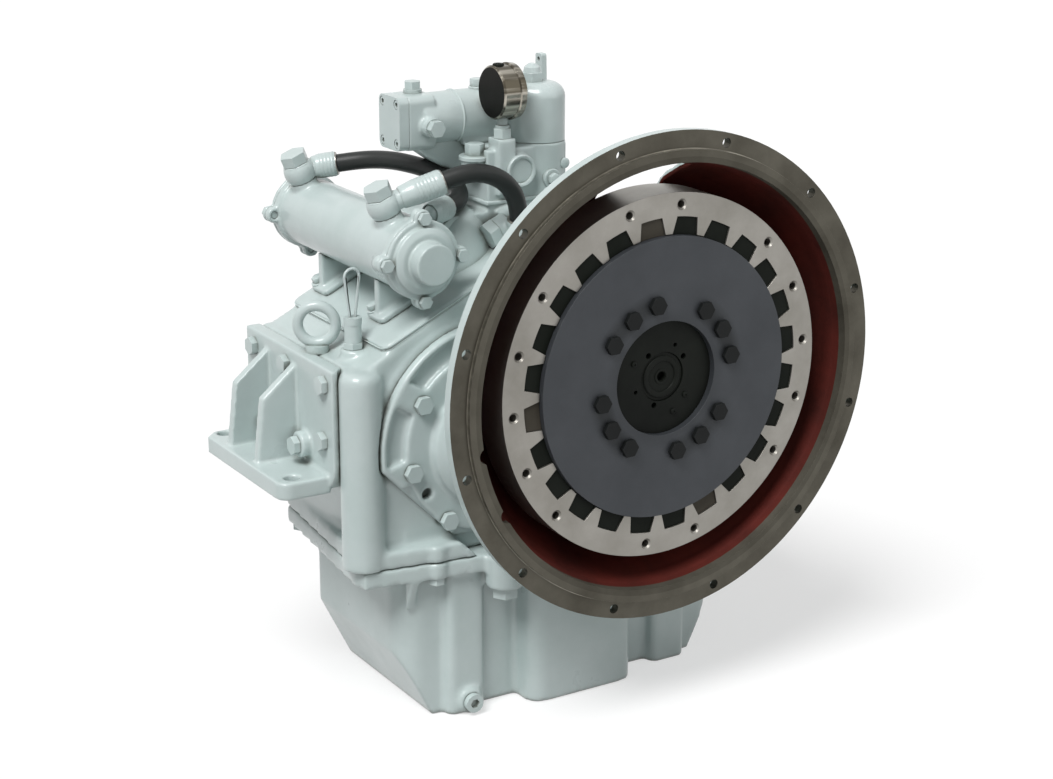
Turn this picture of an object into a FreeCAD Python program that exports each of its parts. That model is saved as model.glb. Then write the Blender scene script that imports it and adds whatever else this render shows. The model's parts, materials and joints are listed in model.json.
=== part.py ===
import FreeCAD, Part
import math
import os

# Marine gearbox: engine on the -Y side, propeller shaft on the +Y side, Z up, millimetres.
# The origin is the centre of the bell housing's mounting face, on the input shaft's axis.

V = FreeCAD.Vector
X_AXIS = V(1, 0, 0)
Y_AXIS = V(0, 1, 0)
Z_AXIS = V(0, 0, 1)

# Engine side: a size 1 flywheel housing
FLANGE_R = 276.2
FLANGE_T = 12.0
SPIGOT_R = 255.59
SPIGOT_L = 5.0
ENGINE_CIRCLE_R = 265.1
ENGINE_HOLES = 12
ENGINE_HOLE_R = 5.5
ENGINE_HOLE_START = -15.0

# Bell wall: inner radius at each depth behind the face
BELL_DEPTH = 131.0
BELL_REAR_T = 13.0
REAR_CUT_BEFORE = 8.0
REAR_CUT_PAST = 9.0
BELL_INNER = [(0.0, 241.6), (30.0, 236.0), (60.0, 222.0), (85.0, 206.0),
              (BELL_DEPTH - BELL_REAR_T, 165.0)]
BELL_WALL = 11.0
BELL_REAR_R = 176.0
WINDOW_FROM_Y = 37.0
WINDOW_TO_Y = 107.0
WINDOW_WIDTH = 104.0
WINDOW_CORNER_R = 12.0
WINDOW_TILT = 5.0
NOTCH_R = 9.0
NOTCH_ANGLES = (190.7, 209.0)

# Gears, and the shaft centres that follow from them
MODULE = 5.0
DRUM_TEETH = 35
PINION_TEETH = 25
OUTPUT_TEETH = 57
PRESSURE_ANGLE = 20.0
BACKLASH = 0.4
CENTRE_DISTANCE = MODULE * (PINION_TEETH + OUTPUT_TEETH) / 2
SHAFT_SPACING = MODULE * DRUM_TEETH
OUT_Z = -CENTRE_DISTANCE
TRANS_Z = -SHAFT_SPACING ** 2 / (2 * CENTRE_DISTANCE)
TRANS_X = -math.sqrt(SHAFT_SPACING ** 2 - TRANS_Z ** 2)

# Fits
RUNNING_FIT = 0.05
STATIC_FIT = 0.05
HOLE_FIT = 0.4
RUBBER_GAP = 0.3

# Longer than anything here: the size of the blocks that cut a half away
FAR = 700.0

# Gear case
CASE_FRONT = BELL_DEPTH + 3
CASE_REAR = 367.0
FRONT_WALL = 14.0
REAR_WALL = 20.0
SIDE_WALL = 14.0
CASE_MID_X = -50.0
CASE_HALF = 269.0
FRONT_BOLT_IN = 91.0
DECK_Z = 23.0
HUMP_Z = 134.0
HUMP_LEFT = -75.0
HUMP_RIGHT = 48.0
LEFT_SHOULDER = 255.0
RIGHT_SHOULDER = 186.0
TAPER_Z = -118.0
TAPER = 27.0
JOINT_Z = OUT_Z
JOINT_T = 20.0
COLUMN_R = 24.0
COLUMN_X = CASE_HALF - 12
COLUMN_Y = CASE_FRONT + 7
COLUMN_ROUND = 12.0
LEDGE_Y = CASE_FRONT - 41
PLATE_PAD_X = (-259.0, -165.0)
PLATE_PAD_Z = (-193.0, -170.0)
JOINT_LUG_R = 13.0
JOINT_BOLT_R = 5.0
JOINT_BOLT_IN = 36.0
JOINT_REAR_IN = 25.0
JOINT_BOLT_HEX = 17.0

# Round cover of the transmission shaft, a part of the bell casting
COVER_RIM_R = 136.0
COVER_BOSS_R = 140.0
COVER_BOLT_R = 101.3
COVER_BOLTS = 8
COVER_BOLT_START = 12.4
COVER_POCKET_IN = 106.0
COVER_POCKET_OUT = 129.0
COVER_POCKET_DEPTH = 8.0
COVER_DOME_R = 76.0
COVER_DOME_L = 20.0
COVER_TRIM_ANGLE = -135.2
COVER_TRIM_R = 107.0
COVER_LOW_GAP = 0.5
SPOT_FACE_R = 13.0
JACK_HOLE_ANGLE = 212.2
JACK_HOLE_CIRCLE_R = 94.5
JACK_HOLE_R = 6.5
BELL_BOLT_R = 148.0
BELL_BOLT_ANGLES = (-62.0, -20.0, 25.0, 68.0, 110.0, 145.0)
BELL_GAP = 2.0

# Sump
SUMP_BOTTOM = -400.0
SUMP_HALF = 218.0
SUMP_STEP_Z = -321.0
SUMP_FLOOR_HALF = 179.0
SUMP_FRONT = CASE_FRONT - 4
SUMP_REAR = CASE_REAR - 30
SUMP_CORNER_R = 30.0
SUMP_WALL = 12.0
FRONT_BLOCK_X = (-118.0, 25.0)
FRONT_BLOCK_Y = LEDGE_Y
FRONT_COLUMN_X = (-215.0, -165.0)
FRONT_COLUMN_Y = SUMP_FRONT - 14
DRAIN_X = -188.0
DRAIN_BOSS_R = 15.0
DRAIN_BOSS_Y = SUMP_FRONT - 20
DRAIN_R = 8.0
DRAIN_HEAD_R = 11.0
BIG_BOLT_X = (-150.0, 92.0)
BIG_BOLT_Y = LEDGE_Y + 7
BIG_BOSS_R = 22.5
BIG_BOSS_L = 40.0
STRAINER_X = -180.0
STRAINER_Y = 285.0
STRAINER_R = 26.0
STRAINER_H = 26.0
SUCTION_PIPE_R = 9.0
GUSSET_X = (-262.0, -250.0)
GUSSET_DROP = 62.0
REAR_BOSS_HALF = 125.0
REAR_BOSS_Z = -290.0

# Mounting feet
FOOT_PLATE_T = 18.0
FOOT_FROM_Y = CASE_FRONT + 15
FOOT_TO_Y = CASE_REAR
FOOT_TOP_Z = -98.0
FOOT_BASE_T = 20.0
FOOT_REACH = 77.0
FOOT_HOLE_R = 9.0
FOOT_HOLE_IN = 22.0
FOOT_HOLE_FROM_Y = FOOT_FROM_Y + 29
FOOT_HOLE_SPACING = 177.0
FOOT_CHAMFER = 14.0
RIB_T = 12.0
RIB_Y = (FOOT_FROM_Y + 87, FOOT_FROM_Y + 157)
FOOT_BOLT_Y = (19.0, 113.0, 196.0, 23.0, 66.0, 141.0)
FOOT_BOLT_Z = (4.0, 4.0, 4.0, -61.0, -76.0, -76.0)
FOOT_BOLTS = [(FOOT_FROM_Y + y, z) for y, z in zip(FOOT_BOLT_Y, FOOT_BOLT_Z)]
FOOT_BOSS_R = 15.0
FOOT_BOSS_L = 12.0

# Bolts
BOLT_R = 6.0
BOLT_HEX = 19.0
BOLT_HEAD = 8.0
BIG_BOLT_R = 9.0
BIG_BOLT_HEX = 27.0
BIG_BOLT_HEAD = 13.0

# Flexible coupling
RING_FRONT = 11.0
RING_DEPTH = 50.0
RING_R = 206.8
RING_TEETH = 24
RING_TOOTH_START = -1.2
RING_ROOT_R = 180.0
RING_TIP_R = 160.6
TOOTH_ROOT_HALF = 10.0
TOOTH_TIP_HALF = 4.6
RING_HOLE_R = 4.4
RING_HOLE_CIRCLE_R = 193.2
RING_HOLE_DEPTH = 24.0
RING_HOLE_START = 4.3
RING_HOLE_PITCH = 20.0
RING_HOLES_LEFT_OUT = (3, 6, 12, 15)
BLOCK_RECESS = 2.0
DISC_FRONT = 6.0
DISC_T = 10.0
DISC_R = 159.6
DISC_RIM_T = 18.0
DISC_BORE_R = 65.0
HUB_FACE = 14.0
HUB_FLANGE_R = 104.0
HUB_FLANGE_T = 15.0
HUB_R = 58.0
HUB_END = 100.0
COUPLING_BOLT_R = 86.4
COUPLING_BOLT_PITCH = 22.7
COUPLING_GROUP_START = 32.6
COUPLING_BOLT_HEAD = 6.0
COUPLING_BOLT_L = 22.0

# Shafts, drums and bearings
SHAFT_FRONT_R = 28.0
SHAFT_R = 30.0
SHAFT_MID_R = 34.0
SHAFT_END_FRONT = 16.0
BEARING_R = 50.0
BEARING_W = 21.0
BEARING_WALL = 12.0
BEARING_INSET = 24.0
OUT_SHAFT_R = 45.0
OUT_THREAD_R = 30.0
GEAR_SEAT_STEP = 6.0
OUT_SEAL_R = OUT_SHAFT_R + 22
OUT_BEARING_R = 70.0
OUT_BEARING_WALL = 20.0
DRUM_FRONT = CASE_FRONT + 28
DRUM_LENGTH = 62.0
DRUM_WEB = 10.0
DRUM_BORE_R = 75.0
PACK_IN_R = 48.0
PACK_FRONT = DRUM_FRONT + 14
PACK_LENGTH = 44.0
PINION_HUB_R = 44.0
PINION_FRONT = DRUM_FRONT + 76
PINION_LENGTH = 64.0
GEAR_FRONT = PINION_FRONT + 2
GEAR_LENGTH = 60.0
GEAR_HUB_R = 66.0
SEAL_W = 11.0
SEAL_R = 46.0

# Output flange
OUT_FLANGE_FACE = CASE_REAR + 121
OUT_FLANGE_R = 125.0
OUT_FLANGE_T = 22.0
OUT_FLANGE_HUB_R = 64.0
OUT_FLANGE_START = CASE_REAR + 25
OUT_FLANGE_CIRCLE_R = 100.0
OUT_FLANGE_HOLES = 8
OUT_FLANGE_HOLE_R = 9.0
OUT_PILOT_R = 60.0
OUT_PILOT_DEPTH = 6.0
OUT_RECESS_R = 52.0
OUT_RECESS_DEPTH = 32.0
OUT_NUT_HEX = 80.0
OUT_NUT_T = 18.0

# Rear covers
OUT_COVER_R = 104.0
OUT_COVER_T = 20.0
OUT_COVER_BOLT_R = 88.0
OUT_COVER_BOLTS = 6
REAR_COVER_R = 74.0
REAR_COVER_T = 14.0
REAR_COVER_BOLT_R = 62.0
REAR_COVER_BOLTS = 4
PUMP_R = 46.0
PUMP_L = 52.0

# Oil cooler, its axis parallel to the shafts
COOLER_X = -230.5
COOLER_Z = 136.0
COOLER_R = 40.0
COOLER_NEAR = CASE_FRONT + 6
COOLER_FAR = CASE_REAR + 51
COOLER_FLANGE_T = 10.0
COOLER_FLANGE_R = 44.0
COOLER_EAR_R = 9.5
COOLER_BOLT_CIRCLE = 46.0
COOLER_CAP_L = 15.0
COOLER_CAP_R = 37.0
COOLER_BOSS_R = 23.0
COOLER_BOSS_L = 19.0
COOLER_BORE_R = 34.0
TUBE_CIRCLE_R = 18.0
TUBE_R = 4.0
PORT_TILT = 22.0
PORT_R = 12.0
PORT_TOP = 46.0
BANJO_R = 16.0
BANJO_H = 22.0
BANJO_HEX = 28.0
BANJO_HEAD = 13.0
BANJO_BOLT_L = 28.0
BANJO_Y = {"rear": 391.0, "front": 185.0}
BRACKET_Y = (196.0, 333.0)
BRACKET_T = 10.0
BRACKET_S = (58.0, 118.0)

# Hoses: routes from the banjo fittings on the cooler to the manifold
HOSE_R = 10.5
SOCKET_R = 14.0
SOCKET_L = 24.0
SHORT_SOCKET_L = 12.0
BANJO_EYE_R = 14.0
REAR_ROUTE = [
    (-211.0, 376.0, 196.5), (-194.5, 366.0, 199.5), (-178.0, 349.0, 202.5), (-165.0, 327.0, 204.0),
    (-153.5, 305.0, 202.6), (-144.0, 283.0, 200.0), (-137.0, 262.0, 196.5), (-133.0, 243.0, 190.5),
    (-134.0, 226.0, 183.5), (-141.5, 213.0, 178.0), (-153.0, 205.0, 175.0), (-165.0, 200.0, 174.0),
]
FRONT_ROUTE = [
    (-188.0, 167.0, 211.5), (-171.5, 162.5, 217.0), (-154.0, 158.0, 219.2), (-136.0, 154.5, 216.0),
    (-119.5, 153.0, 207.0), (-107.0, 154.0, 193.5), (-99.0, 157.0, 177.5), (-95.0, 161.0, 160.5),
]

# Manifold on the inclined face, with the control valve above it
PAD_FROM_Y = CASE_FRONT + 3
PAD_TO_Y = CASE_REAR - 2
PAD_T = 8.0
PAD_START = 32.0
PAD_END = 252.0
MANIFOLD_Y = (200.0, 300.0)
BLOCK_X = (-112.0, -8.0)
BLOCK_TOP = 231.0
SEAT_LOW = 150.0
VALVE_X = (-190.0, -73.0)
VALVE_Y = 262.0
VALVE_Z = 262.0
FRONT_PLUG_IN = 24.0
FRONT_PLUG_DROP = 4.0
PLUG_LUG_L = 10.0
VALVE_WIDTH = 48.0
VALVE_HEIGHT = 60.0
VALVE_R = 29.0
VALVE_COVER_T = 12.0
STEM_Y = 274.0
STEM_Z = 261.0
STEM_R = 8.0
STEM_HOUSING_R = 12.0
STEM_HOUSING_END = -4.0
LEVER_X = (-2.0, 9.0)
LEVER_HUB_R = 13.0
LEVER_WIDTH = 13.0
LEVER_TOP = 321.0
LEVER_CORNER_R = 3.0
LEVER_HOLE_R = 2.5
LEVER_HOLE_STEP = 14.0
FILTER_X = (-30.0, -42.0)
FILTER_Y = (222.0, 232.0)
FILTER_R = 28.5
FILTER_TOP = 299.0
FILTER_DOME = 17.0
FILTER_NUT = (-37.0, 228.0)
FILTER_STUD_R = 6.0
FITTING_S = 234.0
FITTING_Y = 182.0
FITTING_N = 25.0
FITTING_T = 16.0
GAUGE_Y = 205.0
GAUGE_Z = 295.0
GAUGE_R = 30.0
GAUGE_BACK_X = -104.0
GAUGE_DEPTH = 28.0
GAUGE_WALL = 2.5
GAUGE_WELL = 9.0
GAUGE_REST = 135.0
NEEDLE_PIN_R = 1.5
GAUGE_STEM_X = -90.0
GAUGE_STEM_L = 7.0
TOWER_WIDTH = 22.0
TOWER_TOP = 243.0
PLUG_HEX = 17.0
PLUG_HEAD = 9.0

# Fittings on the deck
EYE_X = CASE_MID_X - CASE_HALF + 5
EYE_Y = 229.0
EYE_RING_R = 21.0
EYE_WIRE_R = 6.0
EYE_CENTRE = 31.0
EYE_COLLAR_R = 13.0
DIP_X = CASE_MID_X - CASE_HALF + 26.5
DIP_Y = 184.0
DIP_SEAT_Z = 35.0
DIP_BOSS_R = 14.5
DIP_TUBE_R = 9.5
DIP_TUBE_TOP = 62.0
DIP_CAP_R = 10.0
DIP_ROD_R = 3.0
DIP_ROD_END = -138.0
DIP_LOOP_TOP = 124.0
DIP_LOOP_HALF = 9.0
DIP_WIRE_R = 1.6
BREATHER_X = 20.0
BREATHER_Y = 335.0


def box(x0, x1, y0, y1, z0, z1):
    return Part.makeBox(x1 - x0, y1 - y0, z1 - z0, V(x0, y0, z0))


def rod(start, direction, length, radius):
    return Part.makeCylinder(radius, length, start, direction)


def rod_x(y, z, x0, x1, radius):
    return rod(V(x0, y, z), X_AXIS, x1 - x0, radius)


def rod_y(x, z, y0, y1, radius):
    return rod(V(x, y0, z), Y_AXIS, y1 - y0, radius)


def rod_z(x, y, z0, z1, radius):
    return rod(V(x, y, z0), Z_AXIS, z1 - z0, radius)


def face_of(points):
    return Part.Face(Part.makePolygon(points + [points[0]]))


def prism_y(outline, y0, y1):
    """Outline of (x, z) points, pushed along Y."""
    return face_of([V(x, y0, z) for x, z in outline]).extrude(V(0, y1 - y0, 0))


def prism_x(outline, x0, x1):
    """Outline of (y, z) points, pushed along X."""
    return face_of([V(x0, y, z) for y, z in outline]).extrude(V(x1 - x0, 0, 0))


def prism_z(outline, z0, z1):
    """Outline of (x, y) points, pushed along Z."""
    return face_of([V(x, y, z0) for x, y in outline]).extrude(V(0, 0, z1 - z0))


def turned(profile, x=0.0, z=0.0):
    """Profile of (y, radius) points, turned about an axis along Y."""
    points = [V(x + radius, y, z) for y, radius in profile]
    return face_of(points).revolve(V(x, 0, z), Y_AXIS, 360)


def turned_z(profile, x, y):
    """Profile of (z, radius) points, turned about an axis along Z."""
    points = [V(x + radius, y, z) for z, radius in profile]
    return face_of(points).revolve(V(x, y, 0), Z_AXIS, 360)


def ring_y(x, z, y0, y1, outer, inner):
    return rod_y(x, z, y0, y1, outer).cut(rod_y(x, z, y0 - 1, y1 + 1, inner))


def joined(shapes):
    first, rest = shapes[0], list(shapes[1:])
    return first.fuse(rest).removeSplitter() if rest else first


def mirrored(shape):
    """The same piece on the other side of the case's middle plane."""
    return shape.mirror(V(CASE_MID_X, 0, 0), X_AXIS)


def polar(angle, radius, x=0.0, z=0.0):
    turn = math.radians(angle)
    return x + radius * math.cos(turn), z + radius * math.sin(turn)


def hexagon(start, direction, across_flats, length):
    """A hexagonal bar from start along direction."""
    corner = across_flats / math.sqrt(3)
    outline = [V(*polar(60 * i, corner), 0) for i in range(6)]
    bar = face_of(outline).extrude(V(0, 0, length))
    bar.Placement = FreeCAD.Placement(start, FreeCAD.Rotation(Z_AXIS, direction))
    return bar


def bolt(seat, inward, length, radius=BOLT_R, hex_size=BOLT_HEX, head=BOLT_HEAD):
    """A hexagon bolt whose head lies on seat and whose shank runs inward."""
    outward = inward * -1.0
    return hexagon(seat, outward, hex_size, head).fuse(rod(seat, inward, length, radius)).removeSplitter()


def rounded_edges(shape, radius, picks):
    """Fillets the straight edges for which picks(edge) holds."""
    edges = [edge for edge in shape.Edges if isinstance(edge.Curve, Part.Line) and picks(edge)]
    return shape.makeFillet(radius, edges) if edges else shape


def runs_along(edge, axis):
    direction = edge.tangentAt(edge.FirstParameter)
    return abs(abs(direction.dot(axis)) - 1) < 1e-6


def save(name, *solids):
    pieces = [solid for shape in solids for solid in shape.Solids]
    whole = pieces[0] if len(pieces) == 1 else Part.makeCompound(pieces)
    whole.exportStep("parts/%s.step" % name)


# Bell housing

def bell_outline(offset, from_y):
    """Points (y, radius) of the bell wall, moved out by offset, from from_y on."""
    return [(max(y, from_y), radius + offset) for y, radius in BELL_INNER]


def trim_tool(extra):
    """What the transmission cover's outline loses at its lower left, and below, over the joint flange."""
    slanted = box(COVER_TRIM_R + extra, FAR, 0, FAR, -FAR, FAR)
    slanted.rotate(V(0, 0, 0), Y_AXIS, -COVER_TRIM_ANGLE)
    slanted.translate(V(TRANS_X, 0, TRANS_Z))
    below = box(-FAR, FAR, 0, FAR, -FAR, JOINT_Z + JOINT_T + COVER_LOW_GAP)
    return [slanted, below]


def transmission_cover():
    """Round cover over the front end of the transmission shaft: rim, pockets, flat ring and dome."""
    face_y = BELL_DEPTH - BELL_REAR_T
    cover = rod_y(TRANS_X, TRANS_Z, face_y, BELL_DEPTH, COVER_RIM_R).cut(trim_tool(0))
    pockets = ring_y(TRANS_X, TRANS_Z, face_y - 1, face_y + COVER_POCKET_DEPTH,
                     COVER_POCKET_OUT, COVER_POCKET_IN)
    for i in range(COVER_BOLTS):
        angle = COVER_BOLT_START + 360.0 / COVER_BOLTS * i
        web = box(COVER_BOLT_R - 14, COVER_RIM_R + 5, face_y - 2, BELL_DEPTH, -15, 15)
        web.rotate(V(0, 0, 0), Y_AXIS, -angle)
        web.translate(V(TRANS_X, 0, TRANS_Z))
        pockets = pockets.cut(web)
    dome = turned([(face_y, 0), (face_y, COVER_DOME_R), (face_y - 8, COVER_DOME_R - 3),
                   (face_y - COVER_DOME_L + 3, COVER_DOME_R - 16), (face_y - COVER_DOME_L, COVER_DOME_R - 28),
                   (face_y - COVER_DOME_L, 0)], TRANS_X, TRANS_Z)
    return cover.cut(pockets).fuse(dome)


def bell_window():
    """Rounded window through the top of the bell wall."""
    depth = BELL_INNER[0][1]
    window = box(-WINDOW_WIDTH / 2, WINDOW_WIDTH / 2, WINDOW_FROM_Y, WINDOW_TO_Y, depth / 2, depth * 1.2)
    window = rounded_edges(window, WINDOW_CORNER_R, lambda edge: runs_along(edge, Z_AXIS))
    window.rotate(V(0, 0, 0), Y_AXIS, WINDOW_TILT)
    return window


def cover_bolt_places():
    return [polar(COVER_BOLT_START + 360.0 / COVER_BOLTS * i, COVER_BOLT_R, TRANS_X, TRANS_Z)
            for i in range(COVER_BOLTS)]


def bell_bolt_places():
    """Bolts inside the bell that hold it to the case, clear of the transmission cover."""
    return [polar(angle, BELL_BOLT_R) for angle in BELL_BOLT_ANGLES]


def bell_housing():
    wall = turned([(0, 0), (0, FLANGE_R), (FLANGE_T, FLANGE_R)] + bell_outline(BELL_WALL, FLANGE_T)
                  + [(BELL_DEPTH, BELL_REAR_R), (BELL_DEPTH, 0)])
    spigot = rod_y(0, 0, -SPIGOT_L, 1, SPIGOT_R)
    body = wall.fuse([spigot, transmission_cover()]).removeSplitter()
    hollow = turned([(-SPIGOT_L - 1, 0), (-SPIGOT_L - 1, BELL_INNER[0][1])] + bell_outline(0, 0)
                    + [(BELL_INNER[-1][0], 0)])
    face_y = BELL_DEPTH - BELL_REAR_T
    through = (face_y - REAR_CUT_BEFORE, BELL_DEPTH + REAR_CUT_PAST)
    tools = [hollow, bell_window(), rod_y(0, 0, *through, SEAL_R)]
    tools += [rod_y(*polar(ENGINE_HOLE_START + 360.0 / ENGINE_HOLES * i, ENGINE_CIRCLE_R),
                    -1, FLANGE_T + 1, ENGINE_HOLE_R) for i in range(ENGINE_HOLES)]
    tools += [rod_y(*place, *through, BOLT_R + HOLE_FIT)
              for place in cover_bolt_places() + bell_bolt_places()]
    tools += [rod_y(*place, face_y - 30, face_y, SPOT_FACE_R) for place in cover_bolt_places()]
    tools += [rod_y(*polar(JACK_HOLE_ANGLE, JACK_HOLE_CIRCLE_R, TRANS_X, TRANS_Z), *through, JACK_HOLE_R)]
    tools += [rod_y(*polar(angle, BELL_INNER[0][1] - 3), -SPIGOT_L - 1, 30, NOTCH_R)
              for angle in NOTCH_ANGLES]
    return body.cut(tools)


def bell_space(gap):
    """The bell's outer form, grown by gap, that the case and the sump keep clear of."""
    outer = [(y, radius + BELL_WALL + gap) for y, radius in BELL_INNER]
    return turned([(-5, 0), (-5, FLANGE_R)] + outer + [(BELL_DEPTH, outer[-1][1]), (BELL_DEPTH, 0)])


# Gear case and sump

def case_outline(bottom):
    """Cross-section (x, z) of the gear case, down to bottom."""
    left, right = CASE_MID_X - CASE_HALF, CASE_MID_X + CASE_HALF
    drawn_in = TAPER * (TAPER_Z - bottom) / (TAPER_Z - JOINT_Z)
    return [(left + drawn_in, bottom), (left, TAPER_Z), (left, DECK_Z), (CASE_MID_X - LEFT_SHOULDER, DECK_Z),
            (HUMP_LEFT, HUMP_Z), (HUMP_RIGHT, HUMP_Z), (CASE_MID_X + RIGHT_SHOULDER, DECK_Z),
            (right, DECK_Z), (right, TAPER_Z), (right - drawn_in, bottom)]


def inset(outline, wall, y0, y1):
    """The space inside an outline of (x, z) points, wall away from it."""
    inner = face_of([V(x, y0, z) for x, z in outline]).OuterWire.makeOffset2D(-wall)
    return Part.Face(inner).extrude(V(0, y1 - y0, 0))


def joint_flange(z0, z1):
    """Flange round the joint between case and sump, bowed out at the front."""
    edge = CASE_HALF - JOINT_REAR_IN
    front = [(-CASE_HALF, COLUMN_Y), (4.0 - CASE_HALF, CASE_FRONT - 11), (-124.0, LEDGE_Y + 9),
             (-62.0, LEDGE_Y)]
    left = [(CASE_MID_X + x, y) for x, y in front]
    right = [(CASE_MID_X - x, y) for x, y in reversed(front)]
    outline = left + right + [(CASE_MID_X + edge, CASE_REAR), (CASE_MID_X - edge, CASE_REAR)]
    plate = prism_z(outline, z0, z1)
    plate = rounded_edges(plate, 8, lambda e: runs_along(e, Z_AXIS) and e.Vertexes[0].Point.y > CASE_REAR - 1)
    lugs = [rod_z(x, y, z0, z1, JOINT_LUG_R) for x, y in joint_bolt_places() if y < CASE_FRONT]
    return plate.fuse(lugs).removeSplitter()


def joint_bolt_places():
    """Bolts (x, y) through the joint flange, the same on both sides."""
    side = CASE_HALF - JOINT_BOLT_IN
    left = [(-side, CASE_FRONT + 46), (-side, CASE_FRONT + 134), (-side, CASE_REAR - 16),
            (FRONT_BOLT_IN - CASE_HALF, CASE_FRONT - 15.5)]
    return [(CASE_MID_X + x, y) for x, y in left] + [(CASE_MID_X - x, y) for x, y in left]


def big_bolt_places():
    return [(x, BIG_BOLT_Y) for x in BIG_BOLT_X]


def columns(z0, z1, extra=0.0):
    """The two round corner columns at the front of the case."""
    return [rod_z(CASE_MID_X + side * COLUMN_X, COLUMN_Y, z0, z1, COLUMN_R + extra) for side in (-1, 1)]


def rounded_columns():
    """The columns of the case, rounded off at the deck."""
    rounded = []
    for column in columns(JOINT_Z, DECK_Z):
        rim = [edge for edge in column.Edges
               if edge.Vertexes[0].Point.z > DECK_Z - 1 and isinstance(edge.Curve, Part.Circle)]
        rounded.append(column.makeFillet(COLUMN_ROUND, rim))
    return rounded


def bearing_bosses():
    """Rings inside the walls that hold the shaft bearings, and the saddles of the output shaft."""
    inner_front = CASE_FRONT + FRONT_WALL
    inner_rear = CASE_REAR - REAR_WALL
    boss_r = BEARING_R + BEARING_WALL
    bosses = []
    for x, z in ((0.0, 0.0), (TRANS_X, TRANS_Z)):
        bosses.append(rod_y(x, z, inner_front - 1, CASE_FRONT + BEARING_INSET, boss_r))
        bosses.append(rod_y(x, z, CASE_REAR - BEARING_INSET, inner_rear + 1, boss_r))
    return bosses


def saddles():
    """Solid discs behind the walls for the output bearings, cut at the joint by the caller."""
    saddle_r = OUT_BEARING_R + OUT_BEARING_WALL
    front = rod_y(0, OUT_Z, CASE_FRONT + 1, CASE_FRONT + BEARING_INSET + 4, saddle_r)
    rear = rod_y(0, OUT_Z, CASE_REAR - BEARING_INSET - 4, CASE_REAR, saddle_r)
    return front.fuse(rear)


def bearing_bores():
    """Bores for the bearings of the three shafts."""
    bores = []
    for x, z in ((0.0, 0.0), (TRANS_X, TRANS_Z)):
        bores.append(rod_y(x, z, CASE_FRONT - 10, CASE_FRONT + BEARING_INSET + 1, BEARING_R))
        bores.append(rod_y(x, z, CASE_REAR - BEARING_INSET - 1, CASE_REAR + 1, BEARING_R))
    bores.append(rod_y(0, OUT_Z, CASE_FRONT + 4, CASE_FRONT + BEARING_INSET + 5, OUT_BEARING_R))
    bores.append(rod_y(0, OUT_Z, CASE_REAR - BEARING_INSET - 5, CASE_REAR + 1, OUT_BEARING_R))
    return bores


def incline_frame():
    """Placement of the inclined left face: local X up the slope, Y to the rear, Z out of the face."""
    knee = CASE_MID_X - LEFT_SHOULDER
    slope = math.degrees(math.atan2(HUMP_Z - DECK_Z, HUMP_LEFT - knee))
    return FreeCAD.Placement(V(knee, 0, DECK_Z), FreeCAD.Rotation(Y_AXIS, -slope))


def incline_plate(s0, s1, y0, y1, n0, n1, corner=0.0):
    """A plate on the inclined face, from n0 to n1 above it."""
    plate = box(s0, s1, y0, y1, n0, n1)
    if corner:
        plate = rounded_edges(plate, corner, lambda edge: runs_along(edge, Z_AXIS))
    plate.Placement = incline_frame()
    return plate


def output_cover_places():
    return [polar(30 + 360.0 / OUT_COVER_BOLTS * i, OUT_COVER_BOLT_R, 0, OUT_Z)
            for i in range(OUT_COVER_BOLTS)]


def rear_cover_places(x, z):
    return [polar(45 + 360.0 / REAR_COVER_BOLTS * i, REAR_COVER_BOLT_R, x, z)
            for i in range(REAR_COVER_BOLTS)]


def bolt_holes():
    """Holes that the case and the sump share with the bolts round them."""
    wide = BOLT_R + HOLE_FIT
    holes = [rod_y(*place, CASE_FRONT - 10, CASE_FRONT + 22, wide)
             for place in cover_bolt_places() + bell_bolt_places()]
    rear = output_cover_places() + rear_cover_places(0, 0) + rear_cover_places(TRANS_X, TRANS_Z)
    holes += [rod_y(*place, CASE_REAR - 18, CASE_REAR + 1, wide) for place in rear]
    holes += [rod_z(x, y, JOINT_Z - JOINT_T - 1, JOINT_Z + 16, JOINT_BOLT_R + HOLE_FIT)
              for x, y in joint_bolt_places()]
    holes += [rod_z(x, y, JOINT_Z - BIG_BOSS_L - 1, JOINT_Z + 14, BIG_BOLT_R + HOLE_FIT)
              for x, y in big_bolt_places()]
    return holes


def foot_bolt_holes():
    wide = BOLT_R + HOLE_FIT
    left = CASE_MID_X - CASE_HALF
    holes = [rod_x(y, z, left - 40, left + 10, wide) for y, z in FOOT_BOLTS]
    return holes + [mirrored(hole) for hole in holes]


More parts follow.
